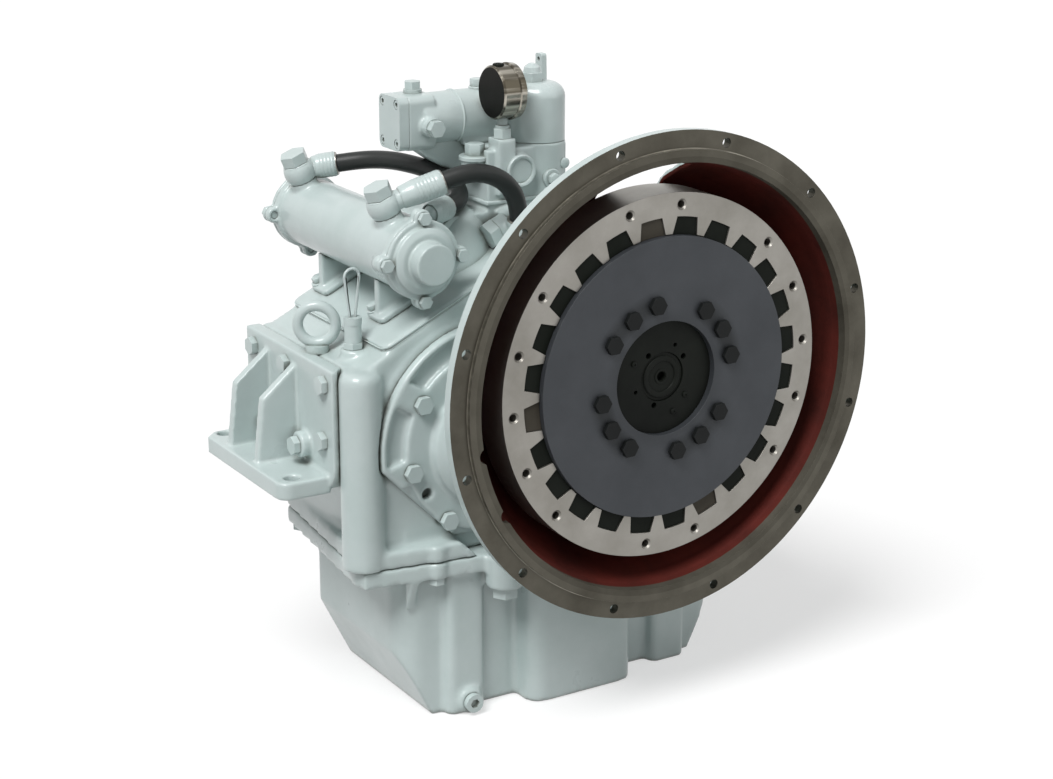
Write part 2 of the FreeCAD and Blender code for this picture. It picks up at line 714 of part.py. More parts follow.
def gear_case():
    body = prism_y(case_outline(JOINT_Z), CASE_FRONT, CASE_REAR)
    body = rounded_edges(body, 10, lambda edge: runs_along(edge, Y_AXIS)
                         and edge.Vertexes[0].Point.z > DECK_Z - 1
                         and abs(edge.Vertexes[0].Point.x - CASE_MID_X) < CASE_HALF - 1)
    low = JOINT_Z - SIDE_WALL
    hollow = inset(case_outline(low), SIDE_WALL, CASE_FRONT + FRONT_WALL, CASE_REAR - REAR_WALL)
    bell_pad = rod_y(0, 0, BELL_DEPTH, CASE_FRONT + FRONT_WALL, BELL_REAR_R - 2)
    cover_pad = rod_y(TRANS_X, TRANS_Z, BELL_DEPTH, CASE_FRONT + FRONT_WALL, COVER_BOSS_R)
    cover_pad = cover_pad.cut(trim_tool(4)[0])
    outside = [bell_pad, cover_pad, joint_flange(JOINT_Z, JOINT_Z + JOINT_T)] + rounded_columns()
    outside += [rod_z(x, y, JOINT_Z, JOINT_Z + JOINT_T + 4, BIG_BOSS_R) for x, y in big_bolt_places()]
    outside.append(incline_plate(PAD_START, PAD_END, PAD_FROM_Y, PAD_TO_Y, -1, PAD_T, 12))
    outside.append(rod_z(DIP_X, DIP_Y, DECK_Z - 6, DIP_SEAT_Z, DIP_BOSS_R))
    outside.append(box(*PLATE_PAD_X, CASE_FRONT - 1.5, CASE_FRONT + 1, *PLATE_PAD_Z))
    above_joint = box(-FAR, FAR, 0, FAR, JOINT_Z, FAR)
    inside = [saddles().common(above_joint)] + bearing_bosses()
    below = box(-FAR, FAR, 0, FAR, -FAR, JOINT_Z)
    cover_space = rod_y(TRANS_X, TRANS_Z, 0, BELL_DEPTH, COVER_RIM_R + BELL_GAP).cut(trim_tool(BELL_GAP)[0])
    body = body.fuse(outside).cut([hollow, below, bell_space(BELL_GAP), cover_space]).fuse(inside)
    tools = [rod_z(DIP_X, DIP_Y, DECK_Z - 30, DIP_SEAT_Z + 1, DIP_ROD_R + 2)]
    tools.append(rod_z(EYE_X, EYE_Y, DECK_Z, DECK_Z + 20, EYE_COLLAR_R + HOLE_FIT))
    return body.cut(bearing_bores() + bolt_holes() + foot_bolt_holes() + tools).removeSplitter()


def sump_outline(top):
    half, floor = SUMP_HALF, SUMP_FLOOR_HALF
    return [(CASE_MID_X - half, top), (CASE_MID_X - half, SUMP_STEP_Z), (CASE_MID_X - floor, SUMP_BOTTOM),
            (CASE_MID_X + floor, SUMP_BOTTOM), (CASE_MID_X + half, SUMP_STEP_Z), (CASE_MID_X + half, top)]


def oil_sump():
    body = prism_y(sump_outline(JOINT_Z), SUMP_FRONT, SUMP_REAR)
    body = rounded_edges(body, SUMP_CORNER_R, lambda e: runs_along(e, Z_AXIS)
                         and e.Vertexes[0].Point.y < SUMP_FRONT + 1)
    hollow = inset(sump_outline(JOINT_Z + SUMP_WALL), SUMP_WALL,
                   SUMP_FRONT + SUMP_WALL, SUMP_REAR - SUMP_WALL)
    block = box(*FRONT_BLOCK_X, FRONT_BLOCK_Y, SUMP_FRONT + 1, SUMP_BOTTOM, JOINT_Z)
    block = rounded_edges(block, 20, lambda edge: runs_along(edge, Z_AXIS)
                          and edge.Vertexes[0].Point.y < SUMP_FRONT)
    column = box(*FRONT_COLUMN_X, FRONT_COLUMN_Y, SUMP_FRONT + 1, SUMP_BOTTOM, JOINT_Z)
    column = rounded_edges(column, 10, lambda edge: runs_along(edge, Z_AXIS)
                           and edge.Vertexes[0].Point.y < SUMP_FRONT)
    drain = rod_y(DRAIN_X, SUMP_BOTTOM + DRAIN_BOSS_R, DRAIN_BOSS_Y, SUMP_FRONT + 1, DRAIN_BOSS_R)
    outside = [block, column, mirrored(column), drain, joint_flange(JOINT_Z - JOINT_T, JOINT_Z)]
    outside += [rod_z(x, y, JOINT_Z - BIG_BOSS_L, JOINT_Z, BIG_BOSS_R) for x, y in big_bolt_places()]
    gusset = prism_x([(SUMP_FRONT + 1, JOINT_Z - GUSSET_DROP), (SUMP_FRONT + 1, JOINT_Z - 2),
                      (CASE_FRONT - 18, JOINT_Z - 2), (CASE_FRONT - 18, JOINT_Z - 24)], *GUSSET_X)
    outside += [gusset, mirrored(gusset)]
    below_joint = box(-FAR, FAR, 0, FAR, -FAR, JOINT_Z)
    half = REAR_BOSS_HALF
    rear_wall = prism_y([(-half, JOINT_Z), (-half, REAR_BOSS_Z), (-half / 2, REAR_BOSS_Z - 35),
                         (half / 2, REAR_BOSS_Z - 35), (half, REAR_BOSS_Z), (half, JOINT_Z)],
                        SUMP_REAR - SUMP_WALL, CASE_REAR)
    outside.append(rear_wall)
    window = box(CASE_MID_X - SUMP_HALF + SUMP_WALL, CASE_MID_X + SUMP_HALF - SUMP_WALL,
                 CASE_FRONT + FRONT_WALL, CASE_REAR - REAR_WALL, JOINT_Z - JOINT_T - 1, JOINT_Z)
    body = body.fuse(outside).cut([hollow, window, bell_space(BELL_GAP)]).fuse(saddles().common(below_joint))
    shaft_way = rod_y(0, OUT_Z, SUMP_REAR - SUMP_WALL - 1, CASE_REAR - 10, OUT_SHAFT_R + 12)
    drain_hole = rod_y(DRAIN_X, SUMP_BOTTOM + DRAIN_BOSS_R, DRAIN_BOSS_Y - 1, SUMP_FRONT + 20, DRAIN_R)
    return body.cut(bearing_bores() + bolt_holes() + [drain_hole, shaft_way]).removeSplitter()


# Mounting feet

def left_mounting_foot():
    wall = CASE_MID_X - CASE_HALF
    outer = wall - FOOT_PLATE_T
    edge = wall - FOOT_REACH
    low = FOOT_TOP_Z - FOOT_BASE_T
    plate = box(outer, wall, FOOT_FROM_Y, FOOT_TO_Y, low, DECK_Z)
    plate = rounded_edges(plate, 30, lambda e: runs_along(e, X_AXIS)
                          and e.Vertexes[0].Point.y < FOOT_FROM_Y + 1 and e.Vertexes[0].Point.z < low + 1)
    base = prism_z([(outer + 1, FOOT_FROM_Y + 10), (edge, FOOT_FROM_Y + 10), (edge, FOOT_TO_Y - FOOT_CHAMFER),
                    (edge + FOOT_CHAMFER, FOOT_TO_Y), (outer + 1, FOOT_TO_Y)], low, FOOT_TOP_Z)
    base = rounded_edges(base, 15, lambda e: runs_along(e, Z_AXIS)
                         and e.Vertexes[0].Point.x < edge + 1 and e.Vertexes[0].Point.y < 200)
    rib_outline = [(outer + 1, FOOT_TOP_Z - 1), (edge + 9, FOOT_TOP_Z - 1), (edge + 9, FOOT_TOP_Z + 6),
                   (edge + 17, FOOT_TOP_Z + 73), (outer + 1, DECK_Z - 12)]
    ribs = [prism_y(rib_outline, y, y + RIB_T) for y in RIB_Y]
    bosses = [rod_x(y, z, outer - FOOT_BOSS_L, outer + 1, FOOT_BOSS_R) for y, z in FOOT_BOLTS[4:]]
    body = joined([plate, base] + ribs + bosses)
    holes = [rod_z(edge + FOOT_HOLE_IN, FOOT_HOLE_FROM_Y + FOOT_HOLE_SPACING * i, low - 1, FOOT_TOP_Z + 1,
                   FOOT_HOLE_R) for i in range(2)]
    return body.cut(holes + foot_bolt_holes() + columns(JOINT_Z, DECK_Z + 1, RUBBER_GAP)).removeSplitter()


def foot_bolts():
    outer = CASE_MID_X - CASE_HALF - FOOT_PLATE_T
    left = []
    for i, (y, z) in enumerate(FOOT_BOLTS):
        seat = outer - (FOOT_BOSS_L if i >= 4 else 0)
        left.append(bolt(V(seat, y, z), X_AXIS, FOOT_PLATE_T + 8 + (FOOT_BOSS_L if i >= 4 else 0)))
    return left + [mirrored(piece) for piece in left]


def bell_bolts():
    face_y = BELL_DEPTH - BELL_REAR_T
    outside = [bolt(V(x, face_y, z), Y_AXIS, 28) for x, z in cover_bolt_places()]
    inside = [bolt(V(x, face_y, z), Y_AXIS, 28) for x, z in bell_bolt_places()]
    return outside + inside


def sump_bolts():
    small = [bolt(V(x, y, JOINT_Z - JOINT_T), Z_AXIS, JOINT_T + 14, JOINT_BOLT_R, JOINT_BOLT_HEX)
             for x, y in joint_bolt_places()]
    big = [bolt(V(x, y, JOINT_Z - BIG_BOSS_L), Z_AXIS, BIG_BOSS_L + 12,
                BIG_BOLT_R, BIG_BOLT_HEX, BIG_BOLT_HEAD) for x, y in big_bolt_places()]
    return small + big


# Rear covers, pump and strainer

def output_bearing_cover():
    cover = ring_y(0, OUT_Z, CASE_REAR, CASE_REAR + OUT_COVER_T, OUT_COVER_R, OUT_SEAL_R)
    return cover.cut([rod_y(*place, CASE_REAR - 1, CASE_REAR + OUT_COVER_T + 1, BOLT_R + HOLE_FIT)
                      for place in output_cover_places()])


def rear_cover(x, z):
    plate = turned([(CASE_REAR, 0), (CASE_REAR, REAR_COVER_R), (CASE_REAR + REAR_COVER_T - 4, REAR_COVER_R),
                    (CASE_REAR + REAR_COVER_T, REAR_COVER_R - 4), (CASE_REAR + REAR_COVER_T, 0)], x, z)
    return plate.cut([rod_y(*place, CASE_REAR - 1, CASE_REAR + REAR_COVER_T + 1, BOLT_R + HOLE_FIT)
                      for place in rear_cover_places(x, z)])


def input_bearing_cover():
    return rear_cover(0, 0).cut(rod_y(0, 0, CASE_REAR - 1, CASE_REAR + REAR_COVER_T + 1, 14))


def cover_bolts():
    output = [bolt(V(x, CASE_REAR + OUT_COVER_T, z), V(0, -1, 0), OUT_COVER_T + 14)
              for x, z in output_cover_places()]
    rear = [bolt(V(x, CASE_REAR + REAR_COVER_T, z), V(0, -1, 0), REAR_COVER_T + 14)
            for x, z in rear_cover_places(0, 0) + rear_cover_places(TRANS_X, TRANS_Z)]
    return output + rear


def oil_pump_body():
    start = CASE_REAR + REAR_COVER_T
    body = rod_y(0, 0, start, start + PUMP_L, PUMP_R)
    ports = rod_x(start + PUMP_L / 2, 0, -PUMP_R - 14, PUMP_R + 14, 16)
    return joined([body, ports]).cut(rod_y(0, 0, start - 1, start + 26, 12.5))


def suction_strainer():
    """Basket on the sump floor with its pipe up to the joint."""
    floor = SUMP_BOTTOM + SUMP_WALL
    basket = rod_z(STRAINER_X, STRAINER_Y, floor, floor + STRAINER_H, STRAINER_R)
    pipe = rod_z(STRAINER_X, STRAINER_Y, floor + STRAINER_H - 1, JOINT_Z - 2, SUCTION_PIPE_R)
    return basket.fuse(pipe).removeSplitter()


# Gears and shafts

def tooth_half_angle(teeth, radius):
    """Half the angle that an involute tooth takes up at a radius, in radians."""
    pitch_r = MODULE * teeth / 2
    base_r = pitch_r * math.cos(math.radians(PRESSURE_ANGLE))
    at_pitch = (math.pi * MODULE / 2 - BACKLASH) / 2 / pitch_r
    start = math.radians(PRESSURE_ANGLE)
    here = math.acos(min(1.0, base_r / max(radius, base_r)))
    return at_pitch + (math.tan(start) - start) - (math.tan(here) - here)


def gear_blank(teeth, x, z, y0, length, phase):
    """Spur gear with straight-sided teeth inside the true involute; one tooth points at phase degrees."""
    pitch_r = MODULE * teeth / 2
    root, tip = pitch_r - 1.25 * MODULE, pitch_r + 0.95 * MODULE
    low = math.degrees(tooth_half_angle(teeth, root))
    high = math.degrees(tooth_half_angle(teeth, tip))
    outline = []
    for i in range(teeth):
        middle = phase + 360.0 / teeth * i
        outline += [polar(middle - low, root, x, z), polar(middle - high, tip, x, z),
                    polar(middle + high, tip, x, z), polar(middle + low, root, x, z)]
    return prism_y(outline, y0, y0 + length)


TRANS_ANGLE = math.degrees(math.atan2(TRANS_Z, TRANS_X))
OUT_TO_TRANS = math.degrees(math.atan2(TRANS_Z - OUT_Z, TRANS_X))


def meshing_phase(own_teeth, angle_to_other, other_teeth, other_phase):
    """Phase that puts a gap of this gear where the other gear's tooth comes."""
    other_side = angle_to_other + 180.0
    offset = (other_side - other_phase) / (360.0 / other_teeth)
    offset -= math.floor(offset)
    return angle_to_other + (0.5 + offset) * 360.0 / own_teeth


OUTPUT_PHASE = 0.0
FORWARD_PHASE = meshing_phase(PINION_TEETH, -90.0, OUTPUT_TEETH, OUTPUT_PHASE)
REVERSE_PHASE = meshing_phase(PINION_TEETH, OUT_TO_TRANS + 180.0, OUTPUT_TEETH, OUTPUT_PHASE)
INPUT_DRUM_PHASE = TRANS_ANGLE
TRANS_DRUM_PHASE = meshing_phase(DRUM_TEETH, TRANS_ANGLE + 180.0, DRUM_TEETH, INPUT_DRUM_PHASE)


def drum_gear(x, z, phase):
    """Clutch drum with the gear round it, open to the rear."""
    drum = gear_blank(DRUM_TEETH, x, z, DRUM_FRONT, DRUM_LENGTH, phase)
    pocket = rod_y(x, z, DRUM_FRONT + DRUM_WEB, DRUM_FRONT + DRUM_LENGTH + 1, DRUM_BORE_R)
    bore = rod_y(x, z, DRUM_FRONT - 1, DRUM_FRONT + DRUM_WEB + 1, SHAFT_MID_R + STATIC_FIT)
    return drum.cut([pocket, bore])


def clutch_pack(x, z):
    """Stack of clutch plates inside the drum."""
    return ring_y(x, z, PACK_FRONT, PACK_FRONT + PACK_LENGTH, DRUM_BORE_R - STATIC_FIT, PACK_IN_R)


def pinion(x, z, phase):
    """Pinion that runs free on its shaft, with a hub that reaches into the clutch."""
    gear = gear_blank(PINION_TEETH, x, z, PINION_FRONT, PINION_LENGTH, phase)
    hub = rod_y(x, z, PACK_FRONT, PINION_FRONT + 1, PINION_HUB_R)
    bore = rod_y(x, z, PACK_FRONT - 1, PINION_FRONT + PINION_LENGTH + 1, SHAFT_MID_R + RUNNING_FIT)
    return gear.fuse(hub).cut(bore).removeSplitter()


def input_shaft():
    return turned([(SHAFT_END_FRONT, 0), (SHAFT_END_FRONT, SHAFT_FRONT_R), (CASE_FRONT, SHAFT_FRONT_R),
                   (CASE_FRONT, SHAFT_R), (CASE_FRONT + BEARING_INSET, SHAFT_R),
                   (CASE_FRONT + BEARING_INSET, SHAFT_MID_R), (CASE_REAR - BEARING_INSET, SHAFT_MID_R),
                   (CASE_REAR - BEARING_INSET, SHAFT_R), (CASE_REAR - 2, SHAFT_R), (CASE_REAR - 2, 12),
                   (CASE_REAR + REAR_COVER_T + 24, 12), (CASE_REAR + REAR_COVER_T + 24, 0)])


def transmission_shaft():
    return turned([(CASE_FRONT, 0), (CASE_FRONT, SHAFT_R), (CASE_FRONT + BEARING_INSET, SHAFT_R),
                   (CASE_FRONT + BEARING_INSET, SHAFT_MID_R), (CASE_REAR - BEARING_INSET, SHAFT_MID_R),
                   (CASE_REAR - BEARING_INSET, SHAFT_R), (CASE_REAR - 2, SHAFT_R), (CASE_REAR - 2, 0)],
                  TRANS_X, TRANS_Z)


def output_shaft():
    gear_seat = OUT_SHAFT_R + GEAR_SEAT_STEP
    front, rear = CASE_FRONT + BEARING_INSET + 6, CASE_REAR - BEARING_INSET - 6
    thread_start, thread_end = OUT_FLANGE_FACE - OUT_RECESS_DEPTH, OUT_FLANGE_FACE - OUT_PILOT_DEPTH - 2
    return turned([(CASE_FRONT + 6, 0), (CASE_FRONT + 6, OUT_SHAFT_R), (front, OUT_SHAFT_R),
                   (front, gear_seat), (rear, gear_seat), (rear, OUT_SHAFT_R), (thread_start, OUT_SHAFT_R),
                   (thread_start, OUT_THREAD_R), (thread_end, OUT_THREAD_R), (thread_end, 0)], 0, OUT_Z)


def output_gear():
    gear = gear_blank(OUTPUT_TEETH, 0, OUT_Z, GEAR_FRONT, GEAR_LENGTH, OUTPUT_PHASE)
    web = [ring_y(0, OUT_Z, y0, y0 + 21, MODULE * OUTPUT_TEETH / 2 - 22, GEAR_HUB_R)
           for y0 in (GEAR_FRONT - 1, GEAR_FRONT + GEAR_LENGTH - 20)]
    bore = rod_y(0, OUT_Z, GEAR_FRONT - 1, GEAR_FRONT + GEAR_LENGTH + 1,
                 OUT_SHAFT_R + GEAR_SEAT_STEP + STATIC_FIT)
    return gear.cut(web + [bore])


def output_flange():
    bore = OUT_SHAFT_R + STATIC_FIT
    back = OUT_FLANGE_FACE - OUT_FLANGE_T
    body = turned([(OUT_FLANGE_START, bore), (OUT_FLANGE_START, OUT_FLANGE_HUB_R),
                   (back - 8, OUT_FLANGE_HUB_R), (back, OUT_FLANGE_HUB_R + 8), (back, OUT_FLANGE_R),
                   (OUT_FLANGE_FACE, OUT_FLANGE_R), (OUT_FLANGE_FACE, OUT_PILOT_R),
                   (OUT_FLANGE_FACE - OUT_PILOT_DEPTH, OUT_PILOT_R),
                   (OUT_FLANGE_FACE - OUT_PILOT_DEPTH, OUT_RECESS_R),
                   (OUT_FLANGE_FACE - OUT_RECESS_DEPTH, OUT_RECESS_R),
                   (OUT_FLANGE_FACE - OUT_RECESS_DEPTH, bore)], 0, OUT_Z)
    places = [polar(360.0 / OUT_FLANGE_HOLES * (i + 0.5), OUT_FLANGE_CIRCLE_R, 0, OUT_Z)
              for i in range(OUT_FLANGE_HOLES)]
    return body.cut([rod_y(*place, back - 1, OUT_FLANGE_FACE + 1, OUT_FLANGE_HOLE_R) for place in places])


def output_nut():
    start = OUT_FLANGE_FACE - OUT_RECESS_DEPTH
    nut = hexagon(V(0, start, OUT_Z), Y_AXIS, OUT_NUT_HEX, OUT_NUT_T)
    return nut.cut(rod_y(0, OUT_Z, start - 1, start + OUT_NUT_T + 1, OUT_THREAD_R + STATIC_FIT))


def shaft_bearings():
    outer = BEARING_R - STATIC_FIT
    inner = SHAFT_R + RUNNING_FIT
    rings = []
    for x, z in ((0.0, 0.0), (TRANS_X, TRANS_Z)):
        rings.append(ring_y(x, z, CASE_FRONT + 1, CASE_FRONT + 1 + BEARING_W, outer, inner))
        rings.append(ring_y(x, z, CASE_REAR - 1 - BEARING_W, CASE_REAR - 1, outer, inner))
    outer = OUT_BEARING_R - STATIC_FIT
    inner = OUT_SHAFT_R + RUNNING_FIT
    rings.append(ring_y(0, OUT_Z, CASE_FRONT + 5, CASE_FRONT + 5 + BEARING_W, outer, inner))
    rings.append(ring_y(0, OUT_Z, CASE_REAR - 3 - BEARING_W, CASE_REAR - 3, outer, inner))
    return rings


def oil_seals():
    front = ring_y(0, 0, BELL_DEPTH - SEAL_W, BELL_DEPTH, SEAL_R - STATIC_FIT, SHAFT_FRONT_R + RUNNING_FIT)
    rear = ring_y(0, OUT_Z, CASE_REAR + 4, CASE_REAR + 4 + SEAL_W, OUT_SEAL_R - STATIC_FIT,
                  OUT_SHAFT_R + RUNNING_FIT)
    return front, rear


# Flexible coupling

def ring_tooth(angle, grow):
    """Outline (x, z) of one inward tooth, widened by grow on each flank."""
    outline = []
    for radius, half in ((RING_ROOT_R + 4, TOOTH_ROOT_HALF + 1.1), (RING_TIP_R - grow, TOOTH_TIP_HALF)):
        spread = math.degrees((half + grow) / radius)
        outline.append((angle - spread, radius))
        outline.append((angle + spread, radius))
    low_a, high_a, low_b, high_b = outline
    return [polar(*low_a), polar(*high_a), polar(*high_b), polar(*low_b)]


def drive_ring():
    back = RING_FRONT + RING_DEPTH
    ring = ring_y(0, 0, RING_FRONT, back, RING_R, RING_ROOT_R)
    teeth = [prism_y(ring_tooth(RING_TOOTH_START + 360.0 / RING_TEETH * i, 0), RING_FRONT, back)
             for i in range(RING_TEETH)]
    holes = [rod_y(*polar(RING_HOLE_START + RING_HOLE_PITCH * i, RING_HOLE_CIRCLE_R), RING_FRONT - 1,
                   RING_FRONT + RING_HOLE_DEPTH, RING_HOLE_R)
             for i in range(18) if i not in RING_HOLES_LEFT_OUT]
    return ring.fuse(teeth).cut(holes).removeSplitter()


def rubber_blocks():
    """Blocks between the ring's teeth, each cut to the gap between two flanks."""
    front = RING_FRONT + BLOCK_RECESS
    back = RING_FRONT + RING_DEPTH - 4
    pitch = 360.0 / RING_TEETH
    first = RING_TOOTH_START
    outer, inner = RING_ROOT_R - RUBBER_GAP, DISC_R + RUBBER_GAP
    wedge = [polar(first, inner * 0.99), polar(first, outer * 1.01), polar(first + pitch, outer * 1.01),
             polar(first + pitch, inner * 0.99)]
    block = prism_y(wedge, front, back).common(ring_y(0, 0, front, back, outer, inner))
    block = block.cut([prism_y(ring_tooth(first + pitch * i, RUBBER_GAP), front - 1, back + 1)
                       for i in (0, 1)])
    blocks = []
    for i in range(RING_TEETH):
        copy = block.copy()
        copy.rotate(V(0, 0, 0), Y_AXIS, -pitch * i)
        blocks.append(copy)
    return blocks


def coupling_bolt_places():
    return [polar(COUPLING_GROUP_START + 90 * group + COUPLING_BOLT_PITCH * i, COUPLING_BOLT_R)
            for group in range(4) for i in (-1, 0, 1)]


def coupling_disc():
    back = RING_FRONT + RING_DEPTH - 4
    disc = turned([(DISC_FRONT, DISC_BORE_R), (DISC_FRONT, DISC_R), (back, DISC_R),
                   (back, DISC_R - DISC_RIM_T), (DISC_FRONT + DISC_T, DISC_R - DISC_RIM_T),
                   (DISC_FRONT + DISC_T, DISC_BORE_R)])
    return disc.cut([rod_y(*place, 0, 30, BOLT_R + HOLE_FIT) for place in coupling_bolt_places()])


def coupling_hub():
    seat = DISC_FRONT + DISC_T
    bore = SHAFT_FRONT_R + STATIC_FIT
    hub = turned([(HUB_FACE, bore), (HUB_FACE, DISC_BORE_R - STATIC_FIT), (seat, DISC_BORE_R - STATIC_FIT),
                  (seat, HUB_FLANGE_R), (seat + HUB_FLANGE_T, HUB_FLANGE_R), (seat + HUB_FLANGE_T, HUB_R),
                  (HUB_END, HUB_R), (HUB_END, bore)])
    return hub.cut([rod_y(*place, 0, 60, BOLT_R + HOLE_FIT) for place in coupling_bolt_places()])


def coupling_bolts():
    return [bolt(V(x, DISC_FRONT, z), Y_AXIS, COUPLING_BOLT_L, head=COUPLING_BOLT_HEAD)
            for x, z in coupling_bolt_places()]


# Oil cooler and hoses

def cooler_bolt_places():
    return [polar(90 * i, COOLER_BOLT_CIRCLE, COOLER_X, COOLER_Z) for i in range(4)]


def cooler_flange(y0, y1, inner):
    """Round flange with four ears for the bolts."""
    plate = joined([rod_y(COOLER_X, COOLER_Z, y0, y1, COOLER_FLANGE_R)]
                   + [rod_y(*place, y0, y1, COOLER_EAR_R) for place in cooler_bolt_places()])
    tools = [rod_y(*place, y0 - 1, y1 + 1, 4 + HOLE_FIT) for place in cooler_bolt_places()]
    if inner:
        tools.append(rod_y(COOLER_X, COOLER_Z, y0 - 1, y1 + 1, inner))
    return plate.cut(tools)


def port_axis():
    tilt = math.radians(PORT_TILT)
    return V(-math.sin(tilt), 0, math.cos(tilt))


def cooler_shell():
    tube = rod_y(COOLER_X, COOLER_Z, COOLER_NEAR, COOLER_FAR, COOLER_R)
    ends = [cooler_flange(COOLER_NEAR, COOLER_NEAR + COOLER_FLANGE_T, 0),
            cooler_flange(COOLER_FAR - COOLER_FLANGE_T, COOLER_FAR, 0)]
    axis = port_axis()
    ports = [rod(V(COOLER_X, y, COOLER_Z), axis, PORT_TOP, BANJO_R) for y in BANJO_Y.values()]
    body = joined([tube] + ends + ports)
    bores = [rod(V(COOLER_X, y, COOLER_Z), axis, PORT_TOP + 1, PORT_R / 2 + HOLE_FIT)
             for y in BANJO_Y.values()]
    return body.cut([rod_y(COOLER_X, COOLER_Z, COOLER_NEAR - 1, COOLER_FAR + 1, COOLER_BORE_R)] + bores)


def cooler_front_cap():
    face = COOLER_NEAR - COOLER_CAP_L
    flange = cooler_flange(COOLER_NEAR - 6, COOLER_NEAR, 0)
    dome = turned([(COOLER_NEAR - 5, 0), (COOLER_NEAR - 5, COOLER_CAP_R), (face + 4, COOLER_CAP_R),
                   (face, COOLER_CAP_R - 7), (face, COOLER_BOSS_R), (face - COOLER_BOSS_L, COOLER_BOSS_R),
                   (face - COOLER_BOSS_L, 0)], COOLER_X, COOLER_Z)
    return flange.fuse(dome).removeSplitter()


def cooler_rear_cap():
    flange = cooler_flange(COOLER_FAR, COOLER_FAR + 6, 0)
    dome = turned([(COOLER_FAR + 5, 0), (COOLER_FAR + 5, COOLER_CAP_R), (COOLER_FAR + 11, COOLER_CAP_R),
                   (COOLER_FAR + 15, COOLER_CAP_R - 7), (COOLER_FAR + 15, 0)], COOLER_X, COOLER_Z)
    return flange.fuse(dome).removeSplitter()


def cooler_tube_bundle():
    """Tubes between two end plates, inside the shell."""
    plates = [rod_y(COOLER_X, COOLER_Z, y, y + 4, COOLER_BORE_R - STATIC_FIT)
              for y in (COOLER_NEAR + 1, COOLER_FAR - 5)]
    tubes = [rod_y(*polar(60 * i, TUBE_CIRCLE_R, COOLER_X, COOLER_Z), COOLER_NEAR + 4, COOLER_FAR - 4, TUBE_R)
             for i in range(6)]
    return joined(plates + tubes)


def cooler_bolts():
    length = COOLER_FLANGE_T + 4
    near = [bolt(V(x, COOLER_NEAR - 6, z), Y_AXIS, length, 4, 13, 6) for x, z in cooler_bolt_places()]
    far = [bolt(V(x, COOLER_FAR + 6, z), V(0, -1, 0), length, 4, 13, 6) for x, z in cooler_bolt_places()]
    return near + far


def cooler_brackets():
    """Two saddles between the cooler and the inclined face, each with a foot and a web."""
    foot_base = PAD_T
    saddles_out = []
    clear = rod_y(COOLER_X, COOLER_Z, 0, 500, COOLER_R + STATIC_FIT)
    for y in BRACKET_Y:
        foot = incline_plate(*BRACKET_S, y - 14, y + 24, foot_base, foot_base + 7, 6)
        web = box(COOLER_X - 24, COOLER_X + 24, y, y + BRACKET_T, DECK_Z, COOLER_Z)
        above = incline_plate(0, 2 * BRACKET_S[1], 0, CASE_REAR, foot_base + 3, 200)
        saddles_out.append(foot.fuse(web.common(above)).cut(clear).removeSplitter())
    return saddles_out


def banjo_centre(name):
    return V(COOLER_X, BANJO_Y[name], COOLER_Z) + port_axis() * (PORT_TOP + BANJO_H / 2)


def banjo_bolts():
    axis = port_axis()
    bolts = []
    for y in BANJO_Y.values():
        seat = V(COOLER_X, y, COOLER_Z) + axis * (PORT_TOP + BANJO_H)
        bolts.append(bolt(seat, axis * -1.0, BANJO_H + 8, PORT_R / 2, BANJO_HEX, BANJO_HEAD))
    return bolts + [bolt(*fitting_bore(), BANJO_BOLT_L, PORT_R / 2, BANJO_HEX, BANJO_HEAD)]


def socket_at(mouth, next_point, target, length=SOCKET_L):
    """Hose socket whose mouth faces next_point, with a stem back to target."""
    mouth, next_point = V(*mouth), V(*next_point)
    inward = (mouth - next_point).normalize()
    socket = rod(mouth, inward, length, SOCKET_R)
    foot = mouth + inward * (length - 1)
    ball = Part.makeSphere(SOCKET_R - 3, foot)
    stem = rod(foot, target - foot, (target - foot).Length, SOCKET_R - 3)
    return socket.fuse([ball, stem])


def banjo_fitting(name, route):
    axis = port_axis()
    seat = V(COOLER_X, BANJO_Y[name], COOLER_Z) + axis * PORT_TOP
    eye = rod(seat, axis, BANJO_H, BANJO_R)
    arm = socket_at(route[0], route[1], banjo_centre(name))
    below = rod(seat - axis * 40, axis, 40, BANJO_R + 6)
    above = rod(seat + axis * BANJO_H, axis, 30, BANJO_R + 6)
    hole = rod(seat, axis, BANJO_H + 1, PORT_R / 2 + HOLE_FIT)
    return eye.fuse(arm.cut([below, above])).cut(hole).removeSplitter()


def manifold_fitting(route, foot_point):
    """Elbow that takes the lower end of a hose down to the manifold."""
    return socket_at(route[-1], route[-2], foot_point).cut(oil_manifold()).removeSplitter()


def manifold_banjo(route):
    """Banjo eye at the manifold's lug, with the socket of the front hose."""
    start, up = fitting_bore()
    eye = rod(start, up, FITTING_T, BANJO_EYE_R)
    arm = socket_at(route[-1], route[-2], start + up * (FITTING_T / 2), SHORT_SOCKET_L)
    head_room = rod(start - up * 30, up, 30, BANJO_R + 6)
    beyond = rod(start + up * FITTING_T, up, 30, BANJO_EYE_R)
    arm = arm.cut([head_room, beyond, oil_manifold()] + case_top())
    hole = rod(start - up, up, FITTING_T + 2, PORT_R / 2 + HOLE_FIT)
    return eye.fuse(arm).cut(hole).removeSplitter()


